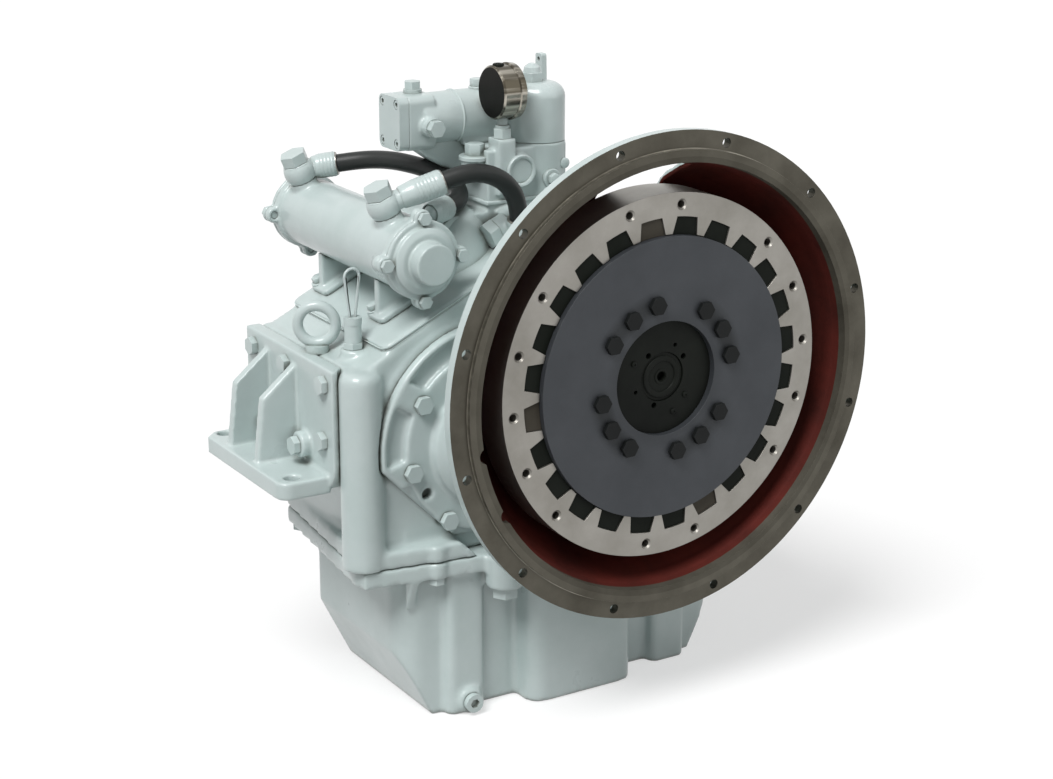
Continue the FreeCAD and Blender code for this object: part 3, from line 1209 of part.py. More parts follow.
def hose(route):
    """Tube of straight runs joined by tangent arcs, as large as the runs allow."""
    points = [V(*point) for point in route]
    edges, start = [], points[0]
    radii = []
    for before, corner, after in zip(points, points[1:], points[2:]):
        back, ahead = (before - corner), (after - corner)
        reach = 0.45 * min(back.Length, ahead.Length)
        turn = math.pi - back.getAngle(ahead)
        radii.append(reach / math.tan(turn / 2))
        first = corner + back.normalize() * reach
        last = corner + ahead.normalize() * reach
        bisector = (back + ahead).normalize()
        height = radii[-1] * (1 / math.cos(turn / 2) - 1)
        middle = corner + bisector * height
        edges.append(Part.LineSegment(start, first).toShape())
        edges.append(Part.Arc(first, middle, last).toShape())
        start = last
    edges.append(Part.LineSegment(start, points[-1]).toShape())
    path = Part.Wire(edges)
    ends = (points[1] - points[0]).normalize()
    profile = Part.Wire(Part.makeCircle(HOSE_R, points[0], ends))
    tube = path.makePipeShell([profile], True, False)
    share = tube.Volume / (math.pi * HOSE_R ** 2 * path.Length)
    print("hose: radii", [round(radius) for radius in radii], "volume share", round(share, 4))
    return tube


# Manifold, valve, filter and gauge

def case_top():
    """The form of the case and its pad, which everything on the incline stands on."""
    case = prism_y(case_outline(JOINT_Z), CASE_FRONT, CASE_REAR)
    return [case, incline_plate(PAD_START, PAD_END, PAD_FROM_Y, PAD_TO_Y, -1, PAD_T)]


def fitting_bore():
    """Start and direction of the bolt through the manifold's banjo fitting, up the incline."""
    frame = incline_frame()
    return frame.multVec(V(FITTING_S - FITTING_T / 2, FITTING_Y, FITTING_N)), frame.Rotation.multVec(X_AXIS)


def filter_form(z0, z1, radius):
    """Upright form with the oblong plan of the filter."""
    (xa, xb), (ya, yb) = FILTER_X, FILTER_Y
    along = V(xb - xa, yb - ya, 0)
    middle = box(0, along.Length, -radius, radius, z0, z1)
    middle.Placement = FreeCAD.Placement(V(xa, ya, 0), FreeCAD.Rotation(X_AXIS, along))
    return joined([middle, rod_z(xa, ya, z0, z1, radius), rod_z(xb, yb, z0, z1, radius)])


def oil_manifold():
    left, right = BLOCK_X
    low = [(-176.0, 40.0), (-176.0, 150.0), (-160.0, 162.0), (left, 162.0), (left, BLOCK_TOP),
           (right, BLOCK_TOP), (right, HUMP_Z), (HUMP_LEFT, HUMP_Z)]
    body = prism_y(low, *MANIFOLD_Y)
    sight = rod_y(-72, 207, MANIFOLD_Y[0] - 8, MANIFOLD_Y[0] + 1, 16)
    half = TOWER_WIDTH / 2
    tower = box(GAUGE_STEM_X - half, GAUGE_STEM_X + half, MANIFOLD_Y[0] - 7, MANIFOLD_Y[0] + 1,
                180, TOWER_TOP)
    tower = tower.fuse(box(GAUGE_STEM_X - half, GAUGE_STEM_X + half, MANIFOLD_Y[0] - 7, 218,
                           BLOCK_TOP - 1, TOWER_TOP))
    plug_boss = rod_z(BLOCK_X[0] - 1, 224, 205, 222, 13)
    lug = incline_plate(FITTING_S + FITTING_T / 2, PAD_END + 8, FITTING_Y - 9.5, MANIFOLD_Y[0] + 1,
                        PAD_T, FITTING_N + 12, 3)
    lug = lug.cut(rod(*fitting_bore(), BANJO_BOLT_L + 2, PORT_R / 2 + HOLE_FIT))
    seat = filter_form(SEAT_LOW, BLOCK_TOP + 2, FILTER_R + 0.5)
    base = box(BLOCK_X[0] + 20, BLOCK_X[1] + 14, MANIFOLD_Y[0] - 4, MANIFOLD_Y[1], HUMP_Z, HUMP_Z + 12)
    body = body.cut(rod_z(BLOCK_X[0] - 1, 224, 222, BLOCK_TOP + 1, 14))
    body = body.fuse([sight, tower, lug, seat, base, plug_boss])
    return body.cut(case_top()).removeSplitter()


def control_valve_body():
    """Valve block across the manifold, with the round housing of the lever's stem at its right end."""
    x0, x1 = VALVE_X
    half_w, half_h = VALVE_WIDTH / 2, VALVE_HEIGHT / 2
    low = BLOCK_TOP
    head = box(x0, x0 + 34, VALVE_Y - half_w, VALVE_Y + half_w, low, VALVE_Z + half_h)
    head = rounded_edges(head, 8, lambda edge: runs_along(edge, X_AXIS))
    barrel = rod_x(VALVE_Y, VALVE_Z, x0 + 20, x1, VALVE_R)
    foot = box(BLOCK_X[0] - 6, x1, VALVE_Y - 20, VALVE_Y + 20, low, VALVE_Z)
    neck = rod_x(STEM_Y, STEM_Z, x1 - 10, STEM_HOUSING_END, STEM_HOUSING_R)
    lug = rod_y(VALVE_X[0] + FRONT_PLUG_IN, VALVE_Z - FRONT_PLUG_DROP,
                VALVE_Y - half_w - PLUG_LUG_L, VALVE_Y, 11)
    body = joined([head, barrel, foot, neck, lug])
    return body.cut(rod_x(STEM_Y, STEM_Z, x1 - 2, STEM_HOUSING_END + 1, STEM_R + RUNNING_FIT))


def valve_screw_places():
    return [(VALVE_Y + a * (VALVE_WIDTH / 2 - 8), VALVE_Z + b * (VALVE_HEIGHT / 2 - 8)) for a in (-1, 1)
            for b in (-1, 1)]


def valve_end_cover():
    x1 = VALVE_X[0]
    half_w, half_h = VALVE_WIDTH / 2, VALVE_HEIGHT / 2
    plate = box(x1 - VALVE_COVER_T, x1, VALVE_Y - half_w, VALVE_Y + half_w,
                VALVE_Z - half_h, VALVE_Z + half_h)
    plate = rounded_edges(plate, 8, lambda edge: runs_along(edge, X_AXIS))
    sinks = [rod_x(y, z, x1 - VALVE_COVER_T - 1, x1 - VALVE_COVER_T + 6, 5.4)
             for y, z in valve_screw_places()]
    holes = [rod_x(y, z, x1 - VALVE_COVER_T - 1, x1 + 1, 3.4) for y, z in valve_screw_places()]
    return plate.cut(sinks + holes)


def valve_cover_screws():
    """Socket-head screws sunk in the cover."""
    head_x = VALVE_X[0] - VALVE_COVER_T + 0.5
    seat = VALVE_X[0] - VALVE_COVER_T + 6
    screws = []
    for y, z in valve_screw_places():
        screw = rod_x(y, z, head_x, seat, 5.0).fuse(rod_x(y, z, seat, VALVE_X[0], 3.0))
        socket = hexagon(V(head_x - 1, y, z), X_AXIS, 5, 4)
        screws.append(screw.cut(socket).removeSplitter())
    return screws


def pipe_plug(seat, outward, hex_size=PLUG_HEX, collar=0.0):
    """Hexagon plug with a collar under its head."""
    collar = collar or hex_size * 0.62
    return rod(seat, outward, 4, collar).fuse(hexagon(seat + outward * 4, outward, hex_size, PLUG_HEAD))


def pipe_plugs():
    front = V(0, -1, 0)
    top = VALVE_Z + VALVE_HEIGHT / 2
    drain_z = SUMP_BOTTOM + DRAIN_BOSS_R
    drain = rod_y(DRAIN_X, drain_z, DRAIN_BOSS_Y - 7, DRAIN_BOSS_Y, DRAIN_HEAD_R)
    drain = drain.fuse(rod_y(DRAIN_X, drain_z, DRAIN_BOSS_Y, DRAIN_BOSS_Y + 12, DRAIN_R - STATIC_FIT))
    drain = drain.cut(hexagon(V(DRAIN_X, DRAIN_BOSS_Y - 8, drain_z), Y_AXIS, 10, 6))
    plugs = [pipe_plug(V(VALVE_X[0] + 20, VALVE_Y + 4, top), Z_AXIS),
             pipe_plug(V(VALVE_X[0] + FRONT_PLUG_IN, VALVE_Y - VALVE_WIDTH / 2 - PLUG_LUG_L,
                         VALVE_Z - FRONT_PLUG_DROP), front),
             pipe_plug(V(BLOCK_X[0] - 1, 224, 222), Z_AXIS, 15, 11.5),
             drain]
    return [plug.removeSplitter() for plug in plugs]


def oil_filter_bowl():
    bowl = filter_form(BLOCK_TOP + 2, FILTER_TOP, FILTER_R)
    rim = [edge for edge in bowl.Edges if min(vertex.Point.z for vertex in edge.Vertexes) > FILTER_TOP - 1]
    bowl = bowl.makeFillet(FILTER_DOME, rim)
    return bowl.cut(rod_z(*FILTER_NUT, FILTER_TOP - 12, FILTER_TOP + 1, FILTER_STUD_R + STATIC_FIT))


def filter_dome_nut():
    nut = hexagon(V(*FILTER_NUT, FILTER_TOP), Z_AXIS, 22, 10)
    dome = turned_z([(FILTER_TOP + 9, 0), (FILTER_TOP + 9, 10.5), (FILTER_TOP + 16, 9), (FILTER_TOP + 20, 4),
                     (FILTER_TOP + 20, 0)], *FILTER_NUT)
    stud = rod_z(*FILTER_NUT, FILTER_TOP - 11, FILTER_TOP + 1, FILTER_STUD_R)
    return nut.fuse([dome, stud]).removeSplitter()


def turned_x(profile, y, z):
    """Profile of (x, radius) points, turned about an axis along X."""
    points = [V(x, y + radius, z) for x, radius in profile]
    return face_of(points).revolve(V(0, y, z), X_AXIS, 360)


def gauge_case():
    """Round case with a bezel ring, open to the right, and the threaded stem below."""
    back, front = GAUGE_BACK_X, GAUGE_BACK_X + GAUGE_DEPTH
    case = turned_x([(back, 0), (back, GAUGE_R - 2), (back + 2, GAUGE_R), (front - 8, GAUGE_R),
                     (front - 7, GAUGE_R + 2), (front, GAUGE_R + 1), (front, GAUGE_R - GAUGE_WALL),
                     (front - GAUGE_WELL, GAUGE_R - GAUGE_WALL), (front - GAUGE_WELL, 0)], GAUGE_Y, GAUGE_Z)
    stem = rod_z(GAUGE_STEM_X, GAUGE_Y, GAUGE_Z - GAUGE_R - GAUGE_STEM_L, GAUGE_Z - GAUGE_R + 1, 6)
    return case.fuse(stem).removeSplitter()


def gauge_dial():
    front = GAUGE_BACK_X + GAUGE_DEPTH
    face = front - GAUGE_WELL + 1
    dial = rod_x(GAUGE_Y, GAUGE_Z, front - GAUGE_WELL, face, GAUGE_R - GAUGE_WALL - STATIC_FIT)
    return dial.fuse(rod_x(GAUGE_Y, GAUGE_Z, face, face + 4, NEEDLE_PIN_R)).removeSplitter()


def gauge_lens():
    front = GAUGE_BACK_X + GAUGE_DEPTH
    return rod_x(GAUGE_Y, GAUGE_Z, front - 2.5, front - 1, GAUGE_R - GAUGE_WALL - STATIC_FIT)


def gauge_needle():
    """Pointer on the dial's pin, resting on its stop at the lower left of the dial."""
    x0 = GAUGE_BACK_X + GAUGE_DEPTH - 6.5
    hub = rod_x(GAUGE_Y, GAUGE_Z, x0, x0 + 1.5, 4)
    pointer = prism_x([(GAUGE_Y - 1.5, GAUGE_Z - 8), (GAUGE_Y + 1.5, GAUGE_Z - 8),
                       (GAUGE_Y + 0.5, GAUGE_Z + 20), (GAUGE_Y - 0.5, GAUGE_Z + 20)], x0, x0 + 1.5)
    needle = hub.fuse(pointer).cut(rod_x(GAUGE_Y, GAUGE_Z, x0 - 1, x0 + 3, NEEDLE_PIN_R + RUNNING_FIT))
    needle.rotate(V(0, GAUGE_Y, GAUGE_Z), X_AXIS, GAUGE_REST)
    return needle.removeSplitter()


def gauge_adapter():
    top = GAUGE_Z - GAUGE_R - GAUGE_STEM_L
    nut = hexagon(V(GAUGE_STEM_X, GAUGE_Y, TOWER_TOP), Z_AXIS, 19, top - TOWER_TOP - 4)
    neck = rod_z(GAUGE_STEM_X, GAUGE_Y, top - 5, top, 8)
    return nut.fuse(neck).removeSplitter()


def control_lever():
    """Lever plate on its cross stem; it swings about the stem's axis."""
    x0, x1 = LEVER_X
    stem = rod_x(STEM_Y, STEM_Z, VALVE_X[1] + 2, x0 + 1, STEM_R)
    hub = rod_x(STEM_Y, STEM_Z, x0, x1, LEVER_HUB_R)
    half = LEVER_WIDTH / 2
    arm = prism_x([(STEM_Y - half - 2, STEM_Z), (STEM_Y + half + 2, STEM_Z), (STEM_Y + half, LEVER_TOP),
                   (STEM_Y - half, LEVER_TOP)], x0 + 2, x1 - 2)
    arm = rounded_edges(arm, LEVER_CORNER_R, lambda edge: runs_along(edge, X_AXIS)
                        and edge.Vertexes[0].Point.z > STEM_Z + 1)
    top_hole = LEVER_TOP - half
    holes = [rod_x(STEM_Y, z, x0, x1, LEVER_HOLE_R) for z in (top_hole, top_hole - LEVER_HOLE_STEP)]
    return joined([stem, hub, arm]).cut(holes)


# Lifting eyes, dipstick and breather

def lifting_eye(x, y, turn):
    z = DECK_Z
    collar = rod_z(x, y, z, z + 8, EYE_COLLAR_R)
    ring = Part.makeTorus(EYE_RING_R, EYE_WIRE_R, V(x, y, z + EYE_CENTRE), V(0, 1, 0))
    ring.rotate(V(x, y, z), Z_AXIS, turn)
    return collar.fuse(ring).removeSplitter()


def lifting_eyes():
    return lifting_eye(EYE_X, EYE_Y, -32), lifting_eye(2 * CASE_MID_X - EYE_X, EYE_Y + 100, 32)


def dipstick_tube():
    z = DIP_SEAT_Z
    body = hexagon(V(DIP_X, DIP_Y, z), Z_AXIS, 20, 7)
    tube = rod_z(DIP_X, DIP_Y, z + 6, DIP_TUBE_TOP, DIP_TUBE_R)
    bore = rod_z(DIP_X, DIP_Y, z - 1, DIP_TUBE_TOP + 1, DIP_ROD_R + RUNNING_FIT)
    return body.fuse(tube).cut(bore).removeSplitter()


def dipstick():
    """Rod with a cap and a wire loop; it pulls straight up."""
    top = DIP_TUBE_TOP
    stick = rod_z(DIP_X, DIP_Y, DIP_ROD_END, top + 1, DIP_ROD_R)
    cap = rod_z(DIP_X, DIP_Y, top, top + 8, DIP_CAP_R)
    half = DIP_LOOP_HALF
    loop_low = top + 7
    wire = DIP_WIRE_R
    legs = [rod(V(DIP_X + side * 3, DIP_Y, loop_low),
                V(side * (half - 3), 0, DIP_LOOP_TOP - half - loop_low),
                math.hypot(half - 3, DIP_LOOP_TOP - half - loop_low), wire) for side in (-1, 1)]
    arch = Part.makeTorus(half, wire, V(DIP_X, DIP_Y, DIP_LOOP_TOP - half), Y_AXIS, 0, 360)
    upper = box(DIP_X - 20, DIP_X + 20, DIP_Y - 20, DIP_Y + 20, DIP_LOOP_TOP - half, DIP_LOOP_TOP + 20)
    return stick.fuse([cap, arch.common(upper)] + legs).removeSplitter()


def breather():
    z = HUMP_Z
    return turned_z([(z, 0), (z, 9), (z + 8, 9), (z + 8, 15), (z + 24, 15), (z + 28, 10), (z + 28, 0)],
                    BREATHER_X, BREATHER_Y)


def build():
    os.makedirs("parts", exist_ok=True)
    save("bell_housing", bell_housing())
    save("gear_case", gear_case())
    save("oil_sump", oil_sump())
    foot = left_mounting_foot()
    save("left_mounting_foot", foot)
    save("right_mounting_foot", mirrored(foot))
    save("foot_bolts", *foot_bolts())
    save("bell_bolts", *bell_bolts())
    save("sump_bolts", *sump_bolts())
    save("output_bearing_cover", output_bearing_cover())
    save("input_bearing_cover", input_bearing_cover())
    save("transmission_rear_cover", rear_cover(TRANS_X, TRANS_Z))
    save("cover_bolts", *cover_bolts())
    save("oil_pump_body", oil_pump_body())
    save("suction_strainer", suction_strainer())
    save("input_shaft", input_shaft())
    save("input_drum_gear", drum_gear(0, 0, INPUT_DRUM_PHASE))
    save("forward_clutch_pack", clutch_pack(0, 0))
    save("forward_pinion", pinion(0, 0, FORWARD_PHASE))
    save("transmission_shaft", transmission_shaft())
    save("transmission_drum_gear", drum_gear(TRANS_X, TRANS_Z, TRANS_DRUM_PHASE))
    save("reverse_clutch_pack", clutch_pack(TRANS_X, TRANS_Z))
    save("reverse_pinion", pinion(TRANS_X, TRANS_Z, REVERSE_PHASE))
    save("output_shaft", output_shaft())
    save("output_gear", output_gear())
    save("output_flange", output_flange())
    save("output_nut", output_nut())
    save("shaft_bearings", *shaft_bearings())
    save("oil_seals", *oil_seals())
    save("drive_ring", drive_ring())
    save("rubber_blocks", *rubber_blocks())
    save("coupling_disc", coupling_disc())
    save("coupling_hub", coupling_hub())
    save("coupling_bolts", *coupling_bolts())
    save("cooler_shell", cooler_shell())
    save("cooler_front_cap", cooler_front_cap())
    save("cooler_rear_cap", cooler_rear_cap())
    save("cooler_tube_bundle", cooler_tube_bundle())
    save("cooler_bolts", *cooler_bolts())
    save("cooler_brackets", *cooler_brackets())
    save("banjo_bolts", *banjo_bolts())
    save("hose_fittings", banjo_fitting("rear", REAR_ROUTE), banjo_fitting("front", FRONT_ROUTE),
         manifold_fitting(REAR_ROUTE, V(-176, 212, 140)), manifold_banjo(FRONT_ROUTE))
    save("rear_oil_hose", hose(REAR_ROUTE))
    save("front_oil_hose", hose(FRONT_ROUTE))
    save("oil_manifold", oil_manifold())
    save("control_valve_body", control_valve_body())
    save("valve_end_cover", valve_end_cover())
    save("valve_cover_screws", *valve_cover_screws())
    save("pipe_plugs", *pipe_plugs())
    save("oil_filter_bowl", oil_filter_bowl())
    save("filter_dome_nut", filter_dome_nut())
    save("gauge_case", gauge_case())
    save("gauge_dial", gauge_dial())
    save("gauge_lens", gauge_lens())
    save("gauge_needle", gauge_needle())
    save("gauge_adapter", gauge_adapter())
    save("control_lever", control_lever())
    save("lifting_eyes", *lifting_eyes())
    save("dipstick_tube", dipstick_tube())
    save("dipstick", dipstick())
    save("breather", breather())


build()
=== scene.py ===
import json
import math

import bmesh
import bpy
from mathutils import Matrix, Vector

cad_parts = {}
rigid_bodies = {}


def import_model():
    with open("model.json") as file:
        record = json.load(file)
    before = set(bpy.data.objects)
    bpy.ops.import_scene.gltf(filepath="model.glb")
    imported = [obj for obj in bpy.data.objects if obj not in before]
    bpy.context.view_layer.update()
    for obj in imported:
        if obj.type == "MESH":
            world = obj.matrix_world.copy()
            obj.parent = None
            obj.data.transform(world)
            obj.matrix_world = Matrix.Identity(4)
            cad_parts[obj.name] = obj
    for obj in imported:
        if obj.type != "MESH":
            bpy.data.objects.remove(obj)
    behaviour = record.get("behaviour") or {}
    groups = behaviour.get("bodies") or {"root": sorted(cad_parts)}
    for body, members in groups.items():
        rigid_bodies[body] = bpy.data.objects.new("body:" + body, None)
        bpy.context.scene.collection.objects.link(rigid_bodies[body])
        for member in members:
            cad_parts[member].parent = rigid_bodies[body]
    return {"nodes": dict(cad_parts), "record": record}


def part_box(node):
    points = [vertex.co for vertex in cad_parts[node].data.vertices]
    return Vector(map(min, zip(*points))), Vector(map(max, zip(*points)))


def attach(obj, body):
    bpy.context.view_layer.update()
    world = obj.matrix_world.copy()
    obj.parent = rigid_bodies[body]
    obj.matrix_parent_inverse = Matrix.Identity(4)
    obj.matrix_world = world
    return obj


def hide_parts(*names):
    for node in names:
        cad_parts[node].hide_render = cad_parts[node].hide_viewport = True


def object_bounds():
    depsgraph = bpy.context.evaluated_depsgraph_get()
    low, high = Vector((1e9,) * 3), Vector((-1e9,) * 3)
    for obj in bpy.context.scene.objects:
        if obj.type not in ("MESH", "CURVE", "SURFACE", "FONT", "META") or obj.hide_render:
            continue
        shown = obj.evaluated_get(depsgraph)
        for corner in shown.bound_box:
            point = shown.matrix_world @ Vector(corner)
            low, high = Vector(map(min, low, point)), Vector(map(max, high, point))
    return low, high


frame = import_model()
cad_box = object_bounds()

MM = 0.001
nodes = frame["nodes"]

# Front faces of the coupling's pieces, in metres; its axis is the frame's Y axis
RING_FACE_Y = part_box("drive_ring")[0].y
HUB_FACE_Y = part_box("coupling_hub")[0].y
SHAFT_FACE_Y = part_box("input_shaft")[0].y


# Camera, at the place that the photograph was taken from

PHOTO_WIDTH = 1053
FOCAL_PIXELS = 2204.67
CAMERA_PLACE = Vector((-1.33909, -1.87976, 0.72187))
CAMERA_AZIMUTH = -31.578
CAMERA_ELEVATION = 17.659
CAMERA_ROLL = 0.114
SENSOR_WIDTH = 36


def photo_camera():
    data = bpy.data.cameras.new("photo_camera")
    data.sensor_width = SENSOR_WIDTH
    data.lens = FOCAL_PIXELS / PHOTO_WIDTH * SENSOR_WIDTH
    data.clip_end = 100
    camera = bpy.data.objects.new("photo_camera", data)
    azimuth, elevation = math.radians(CAMERA_AZIMUTH), math.radians(CAMERA_ELEVATION)
    back = Vector((math.sin(azimuth) * math.cos(elevation), -math.cos(azimuth) * math.cos(elevation),
                   math.sin(elevation)))
    right = (-back).cross(Vector((0, 0, 1))).normalized()
    up = back.cross(right)
    turn = Matrix.Rotation(math.radians(CAMERA_ROLL), 3, "Z")
    view = Matrix((right, up, back)).transposed() @ turn
    camera.matrix_world = Matrix.Translation(CAMERA_PLACE) @ view.to_4x4()
    bpy.context.scene.collection.objects.link(camera)
    bpy.context.scene.camera = camera


# Shared shader effects

def group_of(name, inputs, outputs):
    """An empty node group with float and colour sockets, and its input and output nodes."""
    group = bpy.data.node_groups.new(name, "ShaderNodeTree")
    for label, kind, value in inputs:
        socket = group.interface.new_socket(label, in_out="INPUT", socket_type=kind)
        socket.default_value = value
    for label, kind in outputs:
        group.interface.new_socket(label, in_out="OUTPUT", socket_type=kind)
    return group, group.nodes.new("NodeGroupInput"), group.nodes.new("NodeGroupOutput")


def noise(tree, where, scale, detail=4.0, roughness=0.5):
    node = tree.nodes.new("ShaderNodeTexNoise")
    node.inputs["Detail"].default_value = detail
    node.inputs["Roughness"].default_value = roughness
    if isinstance(scale, (int, float)):
        node.inputs["Scale"].default_value = scale
    else:
        tree.links.new(scale, node.inputs["Scale"])
    tree.links.new(where, node.inputs["Vector"])
    return node.outputs["Fac"]


def ramp(tree, value, low, high, out_low=0.0, out_high=1.0):
    node = tree.nodes.new("ShaderNodeMapRange")
    for label, number in (("From Min", low), ("From Max", high), ("To Min", out_low), ("To Max", out_high)):
        node.inputs[label].default_value = number
    tree.links.new(value, node.inputs["Value"])
    return node.outputs["Result"]


def math_node(tree, operation, first, second=None):
    node = tree.nodes.new("ShaderNodeMath")
    node.operation = operation
    for socket, value in zip(node.inputs, (first, second)):
        if value is None:
            continue
        if isinstance(value, (int, float)):
            socket.default_value = value
        else:
            tree.links.new(value, socket)
    return node.outputs[0]


def distance(tree, value, place):
    """How far a value is from a place, on either side."""
    return math_node(tree, "ABSOLUTE", math_node(tree, "SUBTRACT", value, place))


def object_place(tree):
    return tree.nodes.new("ShaderNodeTexCoord").outputs["Object"]


def coordinates(tree):
    """The X, Y and Z of a place on the object."""
    apart = tree.nodes.new("ShaderNodeSeparateXYZ")
    tree.links.new(object_place(tree), apart.inputs[0])
    return apart.outputs


def mixed(tree, mask, first, second):
    """Colour first where mask is 0, second where it is 1."""
    node = tree.nodes.new("ShaderNodeMix")
    node.data_type = "RGBA"
    for socket, value in ((node.inputs["Factor"], mask), (node.inputs[6], first), (node.inputs[7], second)):
        if isinstance(value, bpy.types.NodeSocket):
            tree.links.new(value, socket)
        else:
            socket.default_value = value
    return node.outputs[2]


def surface_unevenness():
    """Cast metal under a skin of paint: broad waves, fine grain and slow patches of tone."""
    group, given, made = group_of(
        "surface_unevenness",
        [("Wave Scale", "NodeSocketFloat", 60.0), ("Grain Scale", "NodeSocketFloat", 500.0),
         ("Grain Share", "NodeSocketFloat", 0.3)],
        [("Height", "NodeSocketFloat"), ("Patches", "NodeSocketFloat")])
    where = object_place(group)
    waves = noise(group, where, given.outputs["Wave Scale"], 2.0)
    grain = noise(group, where, given.outputs["Grain Scale"], 3.0, 0.6)
    share = math_node(group, "MULTIPLY", grain, given.outputs["Grain Share"])
    group.links.new(math_node(group, "ADD", waves, share), made.inputs["Height"])
    patches = noise(group, where, 14.0, 5.0, 0.62)
    group.links.new(ramp(group, patches, 0.32, 0.7), made.inputs["Patches"])
    return group


def crevice_dirt():
    """Painted shade with grime: 1 in inner corners and joints, broken up, and 0 on open faces."""
    group, given, made = group_of(
        "crevice_dirt", [("Amount", "NodeSocketFloat", 1.0)], [("Mask", "NodeSocketFloat")])
    shade = group.nodes.new("ShaderNodeAmbientOcclusion")
    shade.samples = 6
    shade.inputs["Distance"].default_value = 0.012
    closed = ramp(group, shade.outputs["AO"], 0.75, 0.3)
    broken = ramp(group, noise(group, object_place(group), 90.0, 4.0, 0.65), 0.25, 0.6, 0.35, 1.0)
    spread = math_node(group, "MULTIPLY", closed, broken)
    group.links.new(math_node(group, "MULTIPLY", spread, given.outputs["Amount"]), made.inputs["Mask"])
    return group


def turned_marks():
    """Fine circular tool marks round the input axis."""
    group, given, made = group_of(
        "turned_marks", [("Pitch", "NodeSocketFloat", 900.0)],
        [("Height", "NodeSocketFloat"), ("Radius", "NodeSocketFloat")])
    x, _, z = coordinates(group)
    squares = [math_node(group, "MULTIPLY", across, across) for across in (x, z)]
    radius = math_node(group, "SQRT", math_node(group, "ADD", *squares))
    along = group.nodes.new("ShaderNodeCombineXYZ")
    group.links.new(radius, along.inputs[0])
    group.links.new(noise(group, along.outputs[0], given.outputs["Pitch"], 3.0, 0.7), made.inputs["Height"])
    group.links.new(radius, made.inputs["Radius"])
    return group


UNEVEN = surface_unevenness()
CREVICE_SHADE_AND_GRIME = crevice_dirt()
TURNED = turned_marks()


def linear(red, green, blue):
    """A colour written as 0 to 255, as a linear colour."""
    values = [v / 255 for v in (red, green, blue)]
    return tuple(v / 12.92 if v <= 0.04045 else ((v + 0.055) / 1.055) ** 2.4 for v in values) + (1.0,)


def placed(tree, group, **values):
    """A shared effect in a material, with its inputs set by name."""
    node = tree.nodes.new("ShaderNodeGroup")
    node.node_tree = group
    for label, value in values.items():
        node.inputs[label.replace("_", " ").title()].default_value = value
    return node.outputs


def finish_material(name):
    """A new material with its Principled shader."""
    material = bpy.data.materials.new(name)
    material.use_nodes = True
    tree = material.node_tree
    return material, tree, tree.nodes["Principled BSDF"]


def roughen(tree, shader, height, strength, depth):
    bump = tree.nodes.new("ShaderNodeBump")
    bump.inputs["Strength"].default_value = strength
    bump.inputs["Distance"].default_value = depth
    tree.links.new(height, bump.inputs["Height"])
    tree.links.new(bump.outputs[0], shader.inputs["Normal"])


ENAMEL_LIGHT = linear(194, 206, 205)
ENAMEL_DEEP = linear(183, 197, 195)
# Colour of the painted shade, with grime, in inner corners and joints
GRIME_AND_SHADE = linear(96, 96, 84)


def enamel(name, wave_scale=45.0, bump_depth=0.9, shade_and_grime=0.8):
    """Glossy pale enamel, sprayed over rough castings."""
    material, tree, shader = finish_material(name)
    skin = placed(tree, UNEVEN, wave_scale=wave_scale, grain_scale=420.0, grain_share=0.25)
    tone = mixed(tree, skin["Patches"], ENAMEL_LIGHT, ENAMEL_DEEP)
    # Inner corners and joints are darkened with painted shade and grime
    corners = placed(tree, CREVICE_SHADE_AND_GRIME, amount=shade_and_grime)["Mask"]
    tree.links.new(mixed(tree, corners, tone, GRIME_AND_SHADE), shader.inputs["Base Color"])
    tree.links.new(ramp(tree, skin["Patches"], 0, 1, 0.27, 0.36), shader.inputs["Roughness"])
    shader.inputs["Coat Weight"].default_value = 0.25
    shader.inputs["Coat Roughness"].default_value = 0.12
    roughen(tree, shader, skin["Height"], 0.35, bump_depth * MM)
    return material


def bare_metal(name, colour, darker, roughness, metallic=1.0, grain=300.0, shine=0.5):
    """Plain metal with fine grain and slightly darker patches."""
    material, tree, shader = finish_material(name)
    shader.inputs["Specular IOR Level"].default_value = shine
    skin = placed(tree, UNEVEN, wave_scale=grain * 0.3, grain_scale=grain, grain_share=0.5)
    tree.links.new(mixed(tree, skin["Patches"], colour, darker), shader.inputs["Base Color"])
    shader.inputs["Metallic"].default_value = metallic
    tree.links.new(ramp(tree, skin["Patches"], 0, 1, roughness * 0.85, roughness * 1.15),
                   shader.inputs["Roughness"])
    roughen(tree, shader, skin["Height"], 0.25, 0.2 * MM)
    return material


def rubber(name, colour, wear_and_highlight, roughness=0.6, shine=0.15):
    material, tree, shader = finish_material(name)
    shader.inputs["Specular IOR Level"].default_value = shine
    skin = placed(tree, UNEVEN, wave_scale=120.0, grain_scale=900.0, grain_share=0.4)
    tree.links.new(mixed(tree, skin["Patches"], colour, wear_and_highlight), shader.inputs["Base Color"])
    shader.inputs["Roughness"].default_value = roughness
    roughen(tree, shader, skin["Height"], 0.3, 0.3 * MM)
    return material


def turned_metal(name, colour, darker, roughness, metallic):
    """Metal faced on a lathe, with circular marks."""
    material, tree, shader = finish_material(name)
    marks = placed(tree, TURNED, pitch=1400.0)
    skin = placed(tree, UNEVEN, wave_scale=40.0, grain_scale=300.0, grain_share=0.5)
    tree.links.new(mixed(tree, skin["Patches"], colour, darker), shader.inputs["Base Color"])
    shader.inputs["Metallic"].default_value = metallic
    tree.links.new(ramp(tree, marks["Height"], 0.3, 0.7, roughness * 0.85, roughness * 1.2),
                   shader.inputs["Roughness"])
    roughen(tree, shader, marks["Height"], 0.2, 0.15 * MM)
    return material


BOLT_CIRCLE = 86.4 * MM
GROUP_TURN = 32.6
DISC_TONE = linear(68, 71, 75)
DISC_DARKER = linear(59, 62, 66)
# Colour of the painted shade round the disc's bolts and next to the hub
DISC_PAINTED_SHADE = linear(40, 43, 45)


